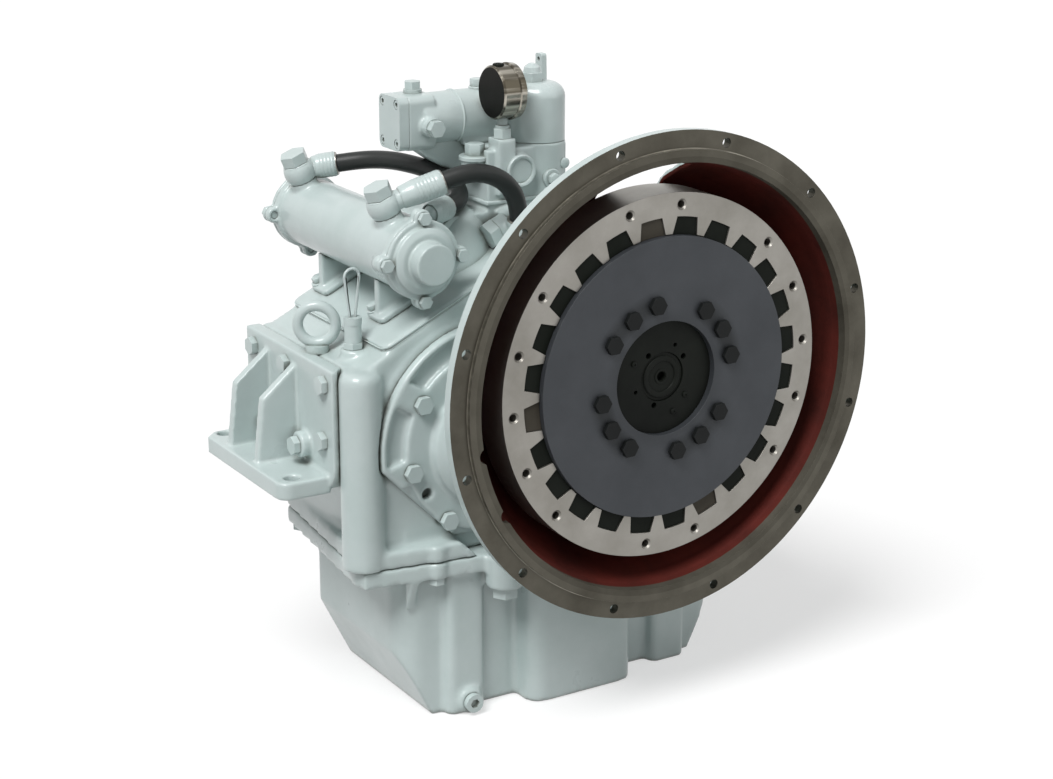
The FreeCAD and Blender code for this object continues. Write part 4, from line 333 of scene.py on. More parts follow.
def slate_disc():
    """Dull grey-blue plate, with painted shade round its four groups of bolts and darker towards the hub."""
    material, tree, shader = finish_material("slate_disc")
    marks = placed(tree, TURNED, pitch=1400.0)
    skin = placed(tree, UNEVEN, wave_scale=40.0, grain_scale=300.0, grain_share=0.5)
    x, _, z = coordinates(tree)
    turn = math_node(tree, "ARCTAN2", z, x)
    fourfold = math_node(tree, "MULTIPLY", math_node(tree, "SUBTRACT", turn, math.radians(GROUP_TURN)), 4.0)
    grouped = ramp(tree, math_node(tree, "COSINE", fourfold), -0.8, 0.3)
    # Painted shade: darker round the bolt groups, and towards the hub
    ring = ramp(tree, distance(tree, marks["Radius"], BOLT_CIRCLE), 17 * MM, 5 * MM)
    inner = ramp(tree, marks["Radius"], 80 * MM, 66 * MM, 0.0, 0.4)
    disc_shade = math_node(tree, "MAXIMUM", math_node(tree, "MULTIPLY", ring, grouped), inner)
    disc_shade = math_node(tree, "MULTIPLY", disc_shade, ramp(tree, skin["Height"], 0.3, 0.7, 0.35, 0.9))
    tone = mixed(tree, skin["Patches"], DISC_TONE, DISC_DARKER)
    tree.links.new(mixed(tree, disc_shade, tone, DISC_PAINTED_SHADE), shader.inputs["Base Color"])
    shader.inputs["Metallic"].default_value = 0.3
    shader.inputs["Specular IOR Level"].default_value = 0.4
    tree.links.new(ramp(tree, marks["Height"], 0.3, 0.7, 0.42, 0.6), shader.inputs["Roughness"])
    roughen(tree, shader, marks["Height"], 0.2, 0.15 * MM)
    return material


# The bell, in metres: radii on its face, lines (radius at the face, change with depth) along the
# middle of its wall, and the depths that its finishes reach
SPIGOT_RADIUS = 0.2556
HOLE_CIRCLE = 0.2651
HOLE_REACH = 6.5 * MM
MID_WALL = [(0.2471, -0.187), (0.2555, -0.467), (0.2659, -0.64), (0.3204, -1.281)]
FACED_DEPTH = 0.6 * MM
LIP_DEPTH = 5 * MM
HOLE_DEPTH = 11 * MM
PRIMER_DEPTH = 0.1215
MACHINED = linear(97, 94, 85)
MACHINED_DARK = linear(74, 71, 63)
# Colour of the painted highlight along the register's step
STEP_HIGHLIGHT = linear(176, 172, 160)
RED_OXIDE = linear(88, 35, 29)
RED_OXIDE_DARK = linear(58, 25, 21)


def bell_finish():
    """Enamel outside, red primer inside, and bare metal on the machined face and lip."""
    material, tree, shader = finish_material("bell_finish")
    skin = placed(tree, UNEVEN, wave_scale=45.0, grain_scale=420.0, grain_share=0.3)
    marks = placed(tree, TURNED, pitch=900.0)
    paint = mixed(tree, skin["Patches"], ENAMEL_LIGHT, ENAMEL_DEEP)
    # Inner corners and joints are darkened with painted shade and grime
    corners = placed(tree, CREVICE_SHADE_AND_GRIME, amount=0.8)["Mask"]
    paint = mixed(tree, corners, paint, GRIME_AND_SHADE)
    primer = mixed(tree, skin["Patches"], RED_OXIDE, RED_OXIDE_DARK)
    metal = mixed(tree, skin["Patches"], MACHINED, MACHINED_DARK)
    depth = coordinates(tree)[1]
    lines = [math_node(tree, "ADD", math_node(tree, "MULTIPLY", depth, slope), start)
             for start, slope in MID_WALL]
    wall = lines[0]
    for line in lines[1:]:
        wall = math_node(tree, "MINIMUM", wall, line)
    inside = math_node(tree, "LESS_THAN", marks["Radius"], wall)
    reach = math_node(tree, "LESS_THAN", depth, PRIMER_DEPTH)
    inside = math_node(tree, "MULTIPLY", inside, reach)
    face = math_node(tree, "LESS_THAN", depth, FACED_DEPTH)
    lip = math_node(tree, "MULTIPLY", math_node(tree, "LESS_THAN", depth, LIP_DEPTH), inside)
    bare = math_node(tree, "MAXIMUM", face, lip)
    from_holes = distance(tree, marks["Radius"], HOLE_CIRCLE)
    in_holes = math_node(tree, "MULTIPLY", math_node(tree, "LESS_THAN", from_holes, HOLE_REACH),
                         math_node(tree, "LESS_THAN", depth, HOLE_DEPTH))
    bare = math_node(tree, "MAXIMUM", bare, in_holes)
    colour = mixed(tree, inside, paint, primer)
    colour = mixed(tree, bare, colour, metal)
    # A thin painted highlight along the register's step, broken up in patches
    from_step = distance(tree, marks["Radius"], SPIGOT_RADIUS + 0.5 * MM)
    step = math_node(tree, "MULTIPLY", ramp(tree, from_step, 0.7 * MM, 0.35 * MM), bare)
    wear_and_highlight = math_node(tree, "MULTIPLY", step, ramp(tree, skin["Patches"], 0.2, 0.8, 0.15, 0.9))
    tree.links.new(mixed(tree, wear_and_highlight, colour, STEP_HIGHLIGHT), shader.inputs["Base Color"])
    tree.links.new(math_node(tree, "MULTIPLY", bare, 0.75), shader.inputs["Metallic"])
    rough = math_node(tree, "ADD", math_node(tree, "MULTIPLY", inside, 0.35), 0.3)
    tree.links.new(math_node(tree, "ADD", rough, math_node(tree, "MULTIPLY", bare, 0.08)),
                   shader.inputs["Roughness"])
    painted = math_node(tree, "SUBTRACT", 1.0, math_node(tree, "MAXIMUM", inside, bare))
    tree.links.new(math_node(tree, "MULTIPLY", painted, 0.7), shader.inputs["Coat Weight"])
    shader.inputs["Coat Roughness"].default_value = 0.2
    shader.inputs["Specular IOR Level"].default_value = 0.12
    roughen(tree, shader, skin["Height"], 0.3, 0.6 * MM)
    return material


# Dark and bright tones of the painted reflection on the gauge's polished case
CASE_REFLECTION_DARK = linear(84, 79, 68)
CASE_REFLECTION_BRIGHT = linear(178, 173, 162)


def polished_case():
    """Polished sheet with a painted reflection: light and dark streaks across its rim, as a curved mirror
    shows a room.
    """
    material, tree, shader = finish_material("polished_case")
    stretch = tree.nodes.new("ShaderNodeMapping")
    stretch.inputs["Scale"].default_value = (3, 110, 110)
    tree.links.new(object_place(tree), stretch.inputs["Vector"])
    # Streaks of painted reflection, stretched round the rim
    streaks = ramp(tree, noise(tree, stretch.outputs[0], 1.0, 2.0, 0.5), 0.38, 0.6)
    tree.links.new(mixed(tree, streaks, CASE_REFLECTION_DARK, CASE_REFLECTION_BRIGHT), shader.inputs["Base Color"])
    shader.inputs["Metallic"].default_value = 1.0
    shader.inputs["Roughness"].default_value = 0.2
    return material


def clear_glass():
    material, tree, shader = finish_material("gauge_glass")
    shader.inputs["Base Color"].default_value = (1, 1, 1, 1)
    shader.inputs["Roughness"].default_value = 0.03
    shader.inputs["Transmission Weight"].default_value = 1.0
    shader.inputs["IOR"].default_value = 1.2
    return material


PAINT = enamel("pale_enamel")
PAINT_SMALL = enamel("pale_enamel_on_fittings", wave_scale=120.0, bump_depth=0.35, shade_and_grime=0.9)
BELL = bell_finish()
RING_METAL = turned_metal("faced_aluminium", linear(158, 155, 149), linear(136, 133, 126), 0.4, 0.85)
BLOCK_RUBBER = rubber("block_rubber", linear(17, 21, 16), linear(27, 30, 26), 0.5, 0.08)
OLD_BLOCK_RUBBER = rubber("older_block_rubber", linear(74, 70, 62), linear(62, 58, 50), 0.6)
DISC_METAL = slate_disc()
BLACK_STEEL = bare_metal("blackened_steel", linear(23, 26, 22), linear(16, 18, 16), 0.55, 0.1, shine=0.12)
BOLT_STEEL = bare_metal("blackened_bolts", linear(27, 29, 29), linear(20, 22, 22), 0.42, 0.1, shine=0.15)
BRIGHT_STEEL = bare_metal("bright_steel", linear(168, 166, 160), linear(140, 137, 130), 0.3)
WORKED_STEEL = bare_metal("worked_steel", linear(128, 125, 118), linear(104, 101, 95), 0.4)
POLISHED = polished_case()
DARK_POLISHED = bare_metal("dark_case_back", linear(16, 15, 10), linear(11, 10, 7), 0.4, 0.1, 700.0,
                           shine=0.08)
BRASS = bare_metal("plain_brass", linear(180, 150, 92), linear(150, 122, 72), 0.35)
HOSE_RUBBER = rubber("hose_rubber", linear(32, 35, 34), linear(40, 42, 41), 0.42, 0.3)
DIAL_FACE = rubber("dark_dial", linear(34, 30, 27), linear(40, 35, 31), 0.35)
POINTER_WHITE = rubber("pointer_white", linear(222, 220, 212), linear(210, 208, 200), 0.4)
GLASS = clear_glass()


# Making pieces from the frame's nodes

def linked(name, mesh):
    piece = bpy.data.objects.new(name, mesh)
    bpy.context.scene.collection.objects.link(piece)
    return piece


def mesh_of(form, name):
    """A new mesh from a bmesh, which is then freed."""
    mesh = bpy.data.meshes.new(name)
    form.to_mesh(mesh)
    form.free()
    return mesh


def settled(piece):
    """Applies a piece's modifiers to its mesh."""
    graph = bpy.context.evaluated_depsgraph_get()
    mesh = bpy.data.meshes.new_from_object(piece.evaluated_get(graph))
    piece.modifiers.clear()
    piece.data = mesh
    return piece


def welded_copy(node, name):
    """A copy of a node's mesh with its triangles merged into whole faces."""
    mesh = nodes[node].data.copy()
    form = bmesh.new()
    form.from_mesh(mesh)
    bmesh.ops.remove_doubles(form, verts=form.verts, dist=0.01 * MM)
    bmesh.ops.dissolve_limit(form, angle_limit=math.radians(0.4), verts=form.verts, edges=form.edges)
    form.to_mesh(mesh)
    form.free()
    for layer in ("custom_normal", "sharp_face"):
        if layer in mesh.attributes:
            mesh.attributes.remove(mesh.attributes[layer])
    mesh.materials.clear()
    return linked(name, mesh)


NODE_BODY = {node: body for body, names in frame["record"]["behaviour"]["bodies"].items() for node in names}


def stands_for(piece, node, material):
    """Piece takes the node's place, body and material slot."""
    piece.data.materials.clear()
    piece.data.materials.append(material)
    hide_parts(node)
    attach(piece, NODE_BODY[node])


def soften(piece, voxel, rounds):
    """Gives a casting's surface one skin, with every edge and inner corner softened."""
    remesh = piece.modifiers.new("skin", "REMESH")
    remesh.mode = "VOXEL"
    remesh.voxel_size = voxel * MM
    remesh.use_smooth_shade = True
    smooth = piece.modifiers.new("soften", "SMOOTH")
    smooth.factor = 0.5
    smooth.iterations = rounds


def break_edges(piece, width):
    """Bevels the sharp edges of a machined piece."""
    for face in piece.data.polygons:
        face.use_smooth = True
    bevel = piece.modifiers.new("edges", "BEVEL")
    bevel.width = width * MM
    bevel.segments = 2
    bevel.limit_method = "ANGLE"
    bevel.angle_limit = math.radians(35)
    bevel.harden_normals = True


def cast_piece(node, material, voxel):
    piece = welded_copy(node, node + "_casting")
    soften(piece, voxel, 4)
    stands_for(settled(piece), node, material)


def edged_piece(node, material, width):
    piece = welded_copy(node, node + "_finished")
    break_edges(piece, width)
    stands_for(settled(piece), node, material)


# Where the bell's flange and its casting are parted, in millimetres behind the face, with the
# casting's lap into the flange; the flange's broken edges, the casting's voxel size and the share
# of its faces that is kept
BELL_SPLIT = 13.0
FLANGE_BACK = 12.1
BELL_LAP = 2.1
FLANGE_EDGE = 0.9
BELL_VOXEL = 2.4
BELL_KEPT = 0.45

# The sector of the bell's wall that makes the window's end: its angles, the turn to its place and
# its depths, in degrees and millimetres
WINDOW_END = (62.5, 70.5)
WINDOW_TURN = 7.0
WINDOW_ALONG = (33.0, 111.0)


def sliced(form, place, away):
    """Takes off what lies beyond a plane, and returns the edges round the cut."""
    cut = bmesh.ops.bisect_plane(form, geom=form.verts[:] + form.edges[:] + form.faces[:],
                                 plane_co=Vector(place) * MM, plane_no=away, clear_outer=True)
    return [edge for edge in cut["geom_cut"] if isinstance(edge, bmesh.types.BMEdge)]


def window_end(form):
    """A copy of the bell's wall beside the window, turned round the axis to make the window's end."""
    patch = form.copy()
    planes = [((0, WINDOW_ALONG[0], 0), (0, -1, 0)), ((0, WINDOW_ALONG[1], 0), (0, 1, 0))]
    for angle, side in zip(WINDOW_END, (-1, 1)):
        across = Vector((-math.sin(math.radians(angle)), 0, math.cos(math.radians(angle))))
        planes.append(((0, 0, 0), across * side))
    for place, away in planes:
        bmesh.ops.triangle_fill(patch, edges=sliced(patch, place, away), use_beauty=True)
    turn = Matrix.Rotation(-math.radians(WINDOW_TURN), 3, "Y")
    bmesh.ops.rotate(patch, cent=(0, 0, 0), matrix=turn, verts=patch.verts)
    bmesh.ops.recalc_face_normals(patch, faces=patch.faces)
    form.from_mesh(mesh_of(patch, "window_end"))


def bell_pieces():
    """The machined flange with its register, and the softened casting behind it."""
    flange = welded_copy("bell_housing", "bell_flange")
    casting = welded_copy("bell_housing", "bell_casting")
    for piece, plane, toward in ((flange, BELL_SPLIT, 1), (casting, FLANGE_BACK, -1)):
        form = bmesh.new()
        form.from_mesh(piece.data)
        rim = sliced(form, (0, plane, 0), (0, toward, 0))
        if piece is casting:
            lap = bmesh.ops.extrude_edge_only(form, edges=rim)["geom"]
            corners = {corner for corner in lap if isinstance(corner, bmesh.types.BMVert)}
            bmesh.ops.translate(form, verts=list(corners), vec=(0, -BELL_LAP * MM, 0))
            rim = [edge for edge in lap
                   if isinstance(edge, bmesh.types.BMEdge) and corners.issuperset(edge.verts)]
        bmesh.ops.triangle_fill(form, edges=rim, use_beauty=True)
        bmesh.ops.recalc_face_normals(form, faces=form.faces)
        if piece is casting:
            window_end(form)
        form.to_mesh(piece.data)
        form.free()
    soften(casting, BELL_VOXEL, 3)
    thin = casting.modifiers.new("thin", "DECIMATE")
    thin.ratio = BELL_KEPT
    break_edges(flange, FLANGE_EDGE)
    for piece in (flange, casting):
        stands_for(settled(piece), "bell_housing", BELL)


# New pieces, built up in a bmesh

HEAD_EDGE = 0.8


def round_the_axis(radius, angle):
    turn = math.radians(angle)
    return radius * math.cos(turn), radius * math.sin(turn)


def seated(seat, axis):
    """A seat in metres, its axis with a length of 1, and the turn from Z to the axis."""
    axis = Vector(axis).normalized()
    return Vector(seat) * MM, axis, Vector((0, 0, 1)).rotation_difference(axis).to_matrix()


def edges_of(made):
    """The edges at all corners that a create operator made."""
    return {edge for corner in made["verts"] for edge in corner.link_edges}


def rounded(form, edges, width, segments):
    """Rounds edges of a bmesh over a width in millimetres."""
    bmesh.ops.bevel(form, geom=list(edges), offset=width * MM, segments=segments, profile=0.5,
                    affect="EDGES", material=-1)


def turned_form(form, profile, seat, axis, steps=48):
    """Turns a profile of (height, radius) in millimetres about the axis through seat."""
    seat, axis, face_on = seated(seat, axis)
    points = [form.verts.new(seat + face_on @ Vector((radius, 0, height)) * MM)
              for height, radius in profile]
    edges = [form.edges.new(pair) for pair in zip(points, points[1:])]
    bmesh.ops.spin(form, geom=points + edges, cent=seat, axis=axis, angle=math.tau, steps=steps,
                   use_merge=True)


def hexagon_form(form, seat, axis, across_flats, height):
    """Hexagon head with its outer edges broken."""
    seat, axis, face_on = seated(seat, axis)
    radius = across_flats / math.sqrt(3) * MM
    place = Matrix.Translation(seat + axis * height / 2 * MM) @ face_on.to_4x4()
    made = bmesh.ops.create_cone(form, cap_ends=True, segments=6, radius1=radius, radius2=radius,
                                 depth=height * MM, matrix=place)
    rounded(form, edges_of(made), HEAD_EDGE, 2)


def finished(form, name, material=PAINT_SMALL, body="housing"):
    """A new piece from a bmesh, closed, with its faces outward, riding on a body."""
    bmesh.ops.remove_doubles(form, verts=form.verts, dist=0.01 * MM)
    bmesh.ops.recalc_face_normals(form, faces=form.faces)
    for face in form.faces:
        face.smooth = True
    for edge in form.edges:
        edge.smooth = not (edge.is_manifold and edge.calc_face_angle() > math.radians(40))
    piece = linked(name, mesh_of(form, name))
    piece.data.materials.append(material)
    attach(piece, body)


# Hoses

HOSE_DIAMETER = 21 * MM
REAR_ROUTE = [
    (-211.0, 376.0, 196.5), (-194.5, 366.0, 199.5), (-178.0, 349.0, 202.5), (-165.0, 327.0, 204.0),
    (-153.5, 305.0, 202.6), (-144.0, 283.0, 200.0), (-137.0, 262.0, 196.5), (-133.0, 243.0, 190.5),
    (-134.0, 226.0, 183.5), (-141.5, 213.0, 178.0), (-153.0, 205.0, 175.0), (-165.0, 200.0, 174.0),
]
FRONT_ROUTE = [
    (-188.0, 167.0, 211.5), (-171.5, 162.5, 217.0), (-154.0, 158.0, 219.2), (-136.0, 154.5, 216.0),
    (-119.5, 153.0, 207.0), (-107.0, 154.0, 193.5), (-99.0, 157.0, 177.5), (-95.0, 161.0, 160.5),
]


def hose(node, route):
    """A smooth hose along the route's control points."""
    curve = bpy.data.curves.new(node + "_run", "CURVE")
    curve.dimensions = "3D"
    spline = curve.splines.new("NURBS")
    spline.points.add(len(route) - 1)
    for point, place in zip(spline.points, route):
        point.co = (*(Vector(place) * MM), 1.0)
    spline.order_u = 3
    spline.use_endpoint_u = True
    spline.resolution_u = 12
    curve.bevel_depth = HOSE_DIAMETER / 2
    curve.bevel_resolution = 8
    curve.use_fill_caps = True
    curve.materials.append(HOSE_RUBBER)
    piece = linked(node + "_run", curve)
    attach(piece, "housing")
    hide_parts(node)


# Ends of the hoses

SLEEVE_RADIUS = 14.5
SLEEVE_BORE = 10.6
GROOVE_PITCH = 4.2

# Mouth, the next point inside the hose and length of the sleeve of each end, in millimetres
HOSE_ENDS = [(REAR_ROUTE[0], REAR_ROUTE[1], 30), (REAR_ROUTE[-1], REAR_ROUTE[-2], 30),
             (FRONT_ROUTE[0], FRONT_ROUTE[1], 50), (FRONT_ROUTE[-1], FRONT_ROUTE[-2], 11)]


def sleeve_profile(length):
    """Painted sleeve that widens from the stem to the mouth, with shallow pressed grooves."""
    outer = SLEEVE_RADIUS
    profile = [(-length, SLEEVE_BORE), (-length, 11.4), (2 - length, 12.6),
               (0.3 * length - length, outer - 0.6)]
    groove = 0.4 * length - length
    while groove < -5:
        profile += [(groove - 0.9, outer), (groove, outer - 0.35), (groove + 0.9, outer)]
        groove += GROOVE_PITCH
    return profile + [(-2.6, outer), (-2.0, outer - 0.4), (-2.0, SLEEVE_BORE), (-length, SLEEVE_BORE)]


def hose_end_rings():
    """Bright ring in the mouth of each socket, and the painted sleeve behind it."""
    bright, painted = bmesh.new(), bmesh.new()
    for mouth, ahead, length in HOSE_ENDS:
        axis = Vector(ahead) - Vector(mouth)
        turned_form(bright, [(-2.4, 10.2), (-2.4, 13.4), (0.2, 13.4), (0.9, 12.8), (1.1, 11.8), (0.7, 10.2),
                             (-2.4, 10.2)], mouth, axis)
        turned_form(painted, sleeve_profile(length), mouth, axis)
    finished(bright, "hose_end_rings", BRIGHT_STEEL, "housing")
    finished(painted, "hose_sleeves")


# The cooler's axis runs along Y; its two ports lean outward by PORT_LEAN and end at PORT_TOP from it
PORT_LEAN = math.radians(22)
PORT_AXIS = Vector((-math.sin(PORT_LEAN), 0, math.cos(PORT_LEAN)))
PORT_TOP = 46
PORT_Y = (185, 391)
COOLER_AXIS = Vector((-230.5, 0, 136))


def banjo_eyes():
    """Rounded bodies of the two fittings on the cooler, round their bolts."""
    form = bmesh.new()
    for y in PORT_Y:
        seat = COOLER_AXIS + Vector((0, y, 0)) + PORT_AXIS * PORT_TOP
        turned_form(form, [(0.5, 11), (0.5, 14.8), (3, 16.8), (7, 18.0), (11, 18.4), (15, 18.0), (19, 16.8),
                           (21.6, 14.8), (21.6, 11), (0.5, 11)], seat, PORT_AXIS)
    finished(form, "banjo_eyes")


# Bolts and small parts that the solids leave out

UP = (0, 0, 1)
FORWARD = (0, -1, 0)

# The inclined face, which rises to the right from KNEE, and the bolts of the cooler's brackets on
# it, in millimetres
KNEE = Vector((-305, 0, 23))
SLOPE = math.atan2(111, 230)
UP_SLOPE = Vector((math.cos(SLOPE), 0, math.sin(SLOPE)))
OFF_SLOPE = Vector((-math.sin(SLOPE), 0, math.cos(SLOPE)))
BRACKET_BOLT_Y = (213, 350)
BRACKET_BOLT_ALONG = (68, 108)
FOOT_TOP = 15


def on_incline(along, y, off):
    """A place on the inclined face: along it from its foot, at depth y, and off it."""
    return KNEE + UP_SLOPE * along + OFF_SLOPE * off + Vector((0, y, 0))


def bracket_bolts():
    """Bolts with washers through the feet of the cooler's brackets."""
    form = bmesh.new()
    for y in BRACKET_BOLT_Y:
        for along in BRACKET_BOLT_ALONG:
            turned_form(form, [(-0.5, 0), (-0.5, 9.5), (1.2, 9.5), (1.6, 9.0), (1.6, 0)],
                        on_incline(along, y, FOOT_TOP), OFF_SLOPE, 32)
            hexagon_form(form, on_incline(along, y, FOOT_TOP + 1.4), OFF_SLOPE, 13, 6.5)
    finished(form, "bracket_bolts")


def manifold_details():
    """Bolt, screw and sight rim on the manifold's front, its plugs, and the seam of the valve's barrel."""
    form = bmesh.new()
    bolt_washer = [(-2, 0), (-2, 11), (1.5, 11), (2.5, 10), (2.5, 0)]
    turned_form(form, bolt_washer, (-32, 193, 193), FORWARD, 32)
    hexagon_form(form, (-32, 190.6, 193), FORWARD, 13, 7)
    screw = [(-3, 0), (-3, 6), (2.5, 6), (3.4, 4.6), (3.4, 0)]
    turned_form(form, screw, (-13, 197.5, 208), FORWARD, 24)
    sight_rim = [(-1, 13.6), (-1, 18.6), (1.6, 18.4), (2.6, 17.4), (2.6, 15.6), (1.6, 14.2), (-1, 13.6)]
    turned_form(form, sight_rim, (-73, 192, 206), FORWARD)
    plug_flange = [(0, 0), (0, 15.5), (12, 15.5), (13, 18), (16.5, 18), (17.5, 17), (17.5, 0)]
    turned_form(form, plug_flange, (-116, 222, 206), UP)
    hexagon_form(form, (-115, 223, 223), UP, 20, 13.5)
    plug_collar = [(-3, 0), (-3, 10), (1.2, 10), (2, 9.2), (2, 0)]
    turned_form(form, plug_collar, (-89, 262, 291), UP, 32)
    hexagon_form(form, (-89, 262, 292.6), UP, 15, 9)
    seam = [(-1.8, 28), (-1.4, 29.6), (-0.6, 30.4), (0.6, 30.4), (1.4, 29.6), (1.8, 28), (-1.8, 28)]
    turned_form(form, seam, (-122, 262, 262), (1, 0, 0), 64)
    finished(form, "manifold_details")


def block_form(form, low, high, rounding):
    """A block between two corners, in millimetres, with all its edges rounded."""
    low, high = Vector(low), Vector(high)
    seat = Matrix.Translation((low + high) / 2 * MM) @ Matrix.Diagonal((high - low) * MM).to_4x4()
    made = bmesh.ops.create_cube(form, size=1.0, matrix=seat)
    rounded(form, edges_of(made), rounding, 3)


def egg_form(form, middle, halves, segments, turn=Matrix.Identity(4)):
    """An ellipsoid with its middle and half lengths in millimetres, turned after it is placed."""
    seat = Matrix.Translation(Vector(middle) * MM) @ Matrix.Diagonal(Vector(halves)).to_4x4()
    bmesh.ops.create_uvsphere(form, u_segments=segments, v_segments=segments // 2, radius=MM,
                              matrix=turn @ seat)


# Underside of the passage, in metres: it rises by PASSAGE_RISE to the left of PASSAGE_BEND_X
PASSAGE_MIDDLE_Z = 0.218
PASSAGE_BEND_X = -0.118
PASSAGE_RISE = 0.75


def manifold_castings():
    """The joint's flange round the manifold, the passage under the valve, and the hump in front."""
    form = bmesh.new()
    block_form(form, (-114.5, 197.8, 169), (-5.5, 302.2, 174), 1.6)
    finished(form, "manifold_joint")
    form = bmesh.new()
    block_form(form, (-170, 250, 190), (-108, 292, 242), 7)
    for corner in form.verts:
        if corner.co.z < PASSAGE_MIDDLE_Z:
            corner.co.z += max(0.0, PASSAGE_BEND_X - corner.co.x) * PASSAGE_RISE
    finished(form, "valve_passage")
    form = bmesh.new()
    egg_form(form, (-140, 218, 104), (40, 38, 66), 48)
    finished(form, "manifold_root", PAINT)


NOTCH_ANGLES = (190.7, 209.0)


def notch_backs():
    """Thick places outside the bell's wall, behind the two notches in its mouth."""
    form = bmesh.new()
    for angle in NOTCH_ANGLES:
        egg_form(form, (251, 26, 0), (6.5, 17, 13), 32, Matrix.Rotation(-math.radians(angle), 4, "Y"))
    finished(form, "notch_backs", BELL, NODE_BODY["bell_housing"])


# The pad on the inclined face, in millimetres: its middle along the face and in Y, its length and
# width, and its two lines (bottom, top, how far they stand out)
PAD_MIDDLE = (142, 251)
PAD_SIZE = (220, 228)
PAD_CORNER = 13
PAD_LINES = ((1.6, 3.0, 1.6), (4.6, 6.0, 1.2))


def pad_gasket():
    """Edge of the gasket round the pad on the inclined face."""
    form = bmesh.new()
    incline = Matrix((UP_SLOPE, (0, 1, 0), OFF_SLOPE)).transposed().to_4x4()
    incline.translation = KNEE * MM
    for low, high, out in PAD_LINES:
        seat = incline @ Matrix.Translation(Vector((*PAD_MIDDLE, (low + high) / 2)) * MM)
        length, width = (side + 2 * out for side in PAD_SIZE)
        size = Matrix.Diagonal(Vector((length, width, high - low)) * MM).to_4x4()
        made = bmesh.ops.create_cube(form, size=1.0, matrix=seat @ size)
        upright = [edge for edge in edges_of(made)
                   if abs((edge.verts[0].co - edge.verts[1].co).normalized().dot(OFF_SLOPE)) > 0.9]
        rounded(form, upright, PAD_CORNER, 8)
    finished(form, "pad_gasket")


# Gauge, in millimetres and degrees
GAUGE_AXIS_Y, GAUGE_AXIS_Z = 205.0, 295.0
DIAL_X = -84.0
DIAL_START, DIAL_SWEEP = 225.0, 270.0
DIAL_FULL = 30
TICK_RADIUS = 25.5
NUMBER_RADIUS = 17.5
NUMBER_HEIGHT = 5
CASE_LOWEST_Z = 264.0
BACK_THICKNESS = 1.5


def gauge_fill_plug():
    form = bmesh.new()
    turned_form(form, [(-2, 0), (-2, 6.5), (1.0, 6.5), (2.2, 5.6), (2.2, 3.0), (1.4, 2.4), (1.4, 0)],
                (-95, GAUGE_AXIS_Y, GAUGE_AXIS_Z + 29.6), UP, 32)
    finished(form, "gauge_fill_plug", BLOCK_RUBBER, "housing")


def dial_place(angle, radius):
    """A place on the dial, which faces to the right of the gearbox."""
    y, z = round_the_axis(radius, angle)
    return Vector((DIAL_X, GAUGE_AXIS_Y + y, GAUGE_AXIS_Z + z)) * MM


def dial_scale():
    """Ticks and plain numbers from 0 to 30 round the dial."""
    form = bmesh.new()
    for i in range(DIAL_FULL + 1):
        angle = DIAL_START - DIAL_SWEEP * i / DIAL_FULL
        length, width = (4.0, 0.8) if i % 5 == 0 else (2.2, 0.4)
        place = Matrix.Translation(dial_place(angle, TICK_RADIUS - length / 2))
        stand = place @ Matrix.Rotation(math.radians(angle), 4, "X")
        size = Matrix.Diagonal(Vector((0.15, length, width)) * MM).to_4x4()
        bmesh.ops.create_cube(form, size=1.0, matrix=stand @ size)
    face_right = Matrix(((0, 0, 1), (1, 0, 0), (0, 1, 0))).to_4x4()
    for i in range(0, DIAL_FULL + 1, 5):
        text = bpy.data.curves.new("dial_number", "FONT")
        text.body = str(i)
        text.size = NUMBER_HEIGHT * MM
        text.extrude = 0.1 * MM
        text.align_x = "CENTER"
        text.align_y = "CENTER"
        carrier = linked("dial_number", text)
        graph = bpy.context.evaluated_depsgraph_get()
        number = bpy.data.meshes.new_from_object(carrier.evaluated_get(graph))
        bpy.data.objects.remove(carrier)
        place = dial_place(DIAL_START - DIAL_SWEEP * i / DIAL_FULL, NUMBER_RADIUS)
        number.transform(Matrix.Translation(place) @ face_right)
        form.from_mesh(number)
        bpy.data.meshes.remove(number)
    finished(form, "dial_scale", POINTER_WHITE, "housing")


# Floor, backdrop and light

FLOOR_REACH = 30

# How bright the surroundings and the floor are, to what they light and to the camera
AMBIENT = 0.3
FLOOR_SEEN = 0.45
FLOOR_GLOW = 0.55
FLOOR_BOUNCE = 0.42
WHITE = (1, 1, 1, 1)


def seen_directly(tree):
    """1 for rays from the camera, a mirror or glass, 0 for the light that falls on things."""
    path = tree.nodes.new("ShaderNodeLightPath")
    seen = math_node(tree, "MAXIMUM", path.outputs["Is Camera Ray"], path.outputs["Is Transmission Ray"])
    return math_node(tree, "MAXIMUM", seen, path.outputs["Is Glossy Ray"])


def lamp(name, place, strength, width):
    """A far, soft light that shines from place towards the gearbox."""
    light = bpy.data.lights.new(name, "SUN")
    light.energy = strength
    light.angle = math.radians(width)
    thing = bpy.data.objects.new(name, light)
    thing.rotation_euler = (-Vector(place)).to_track_quat("-Z", "Y").to_euler()
    thing.location = place
    bpy.context.scene.collection.objects.link(thing)


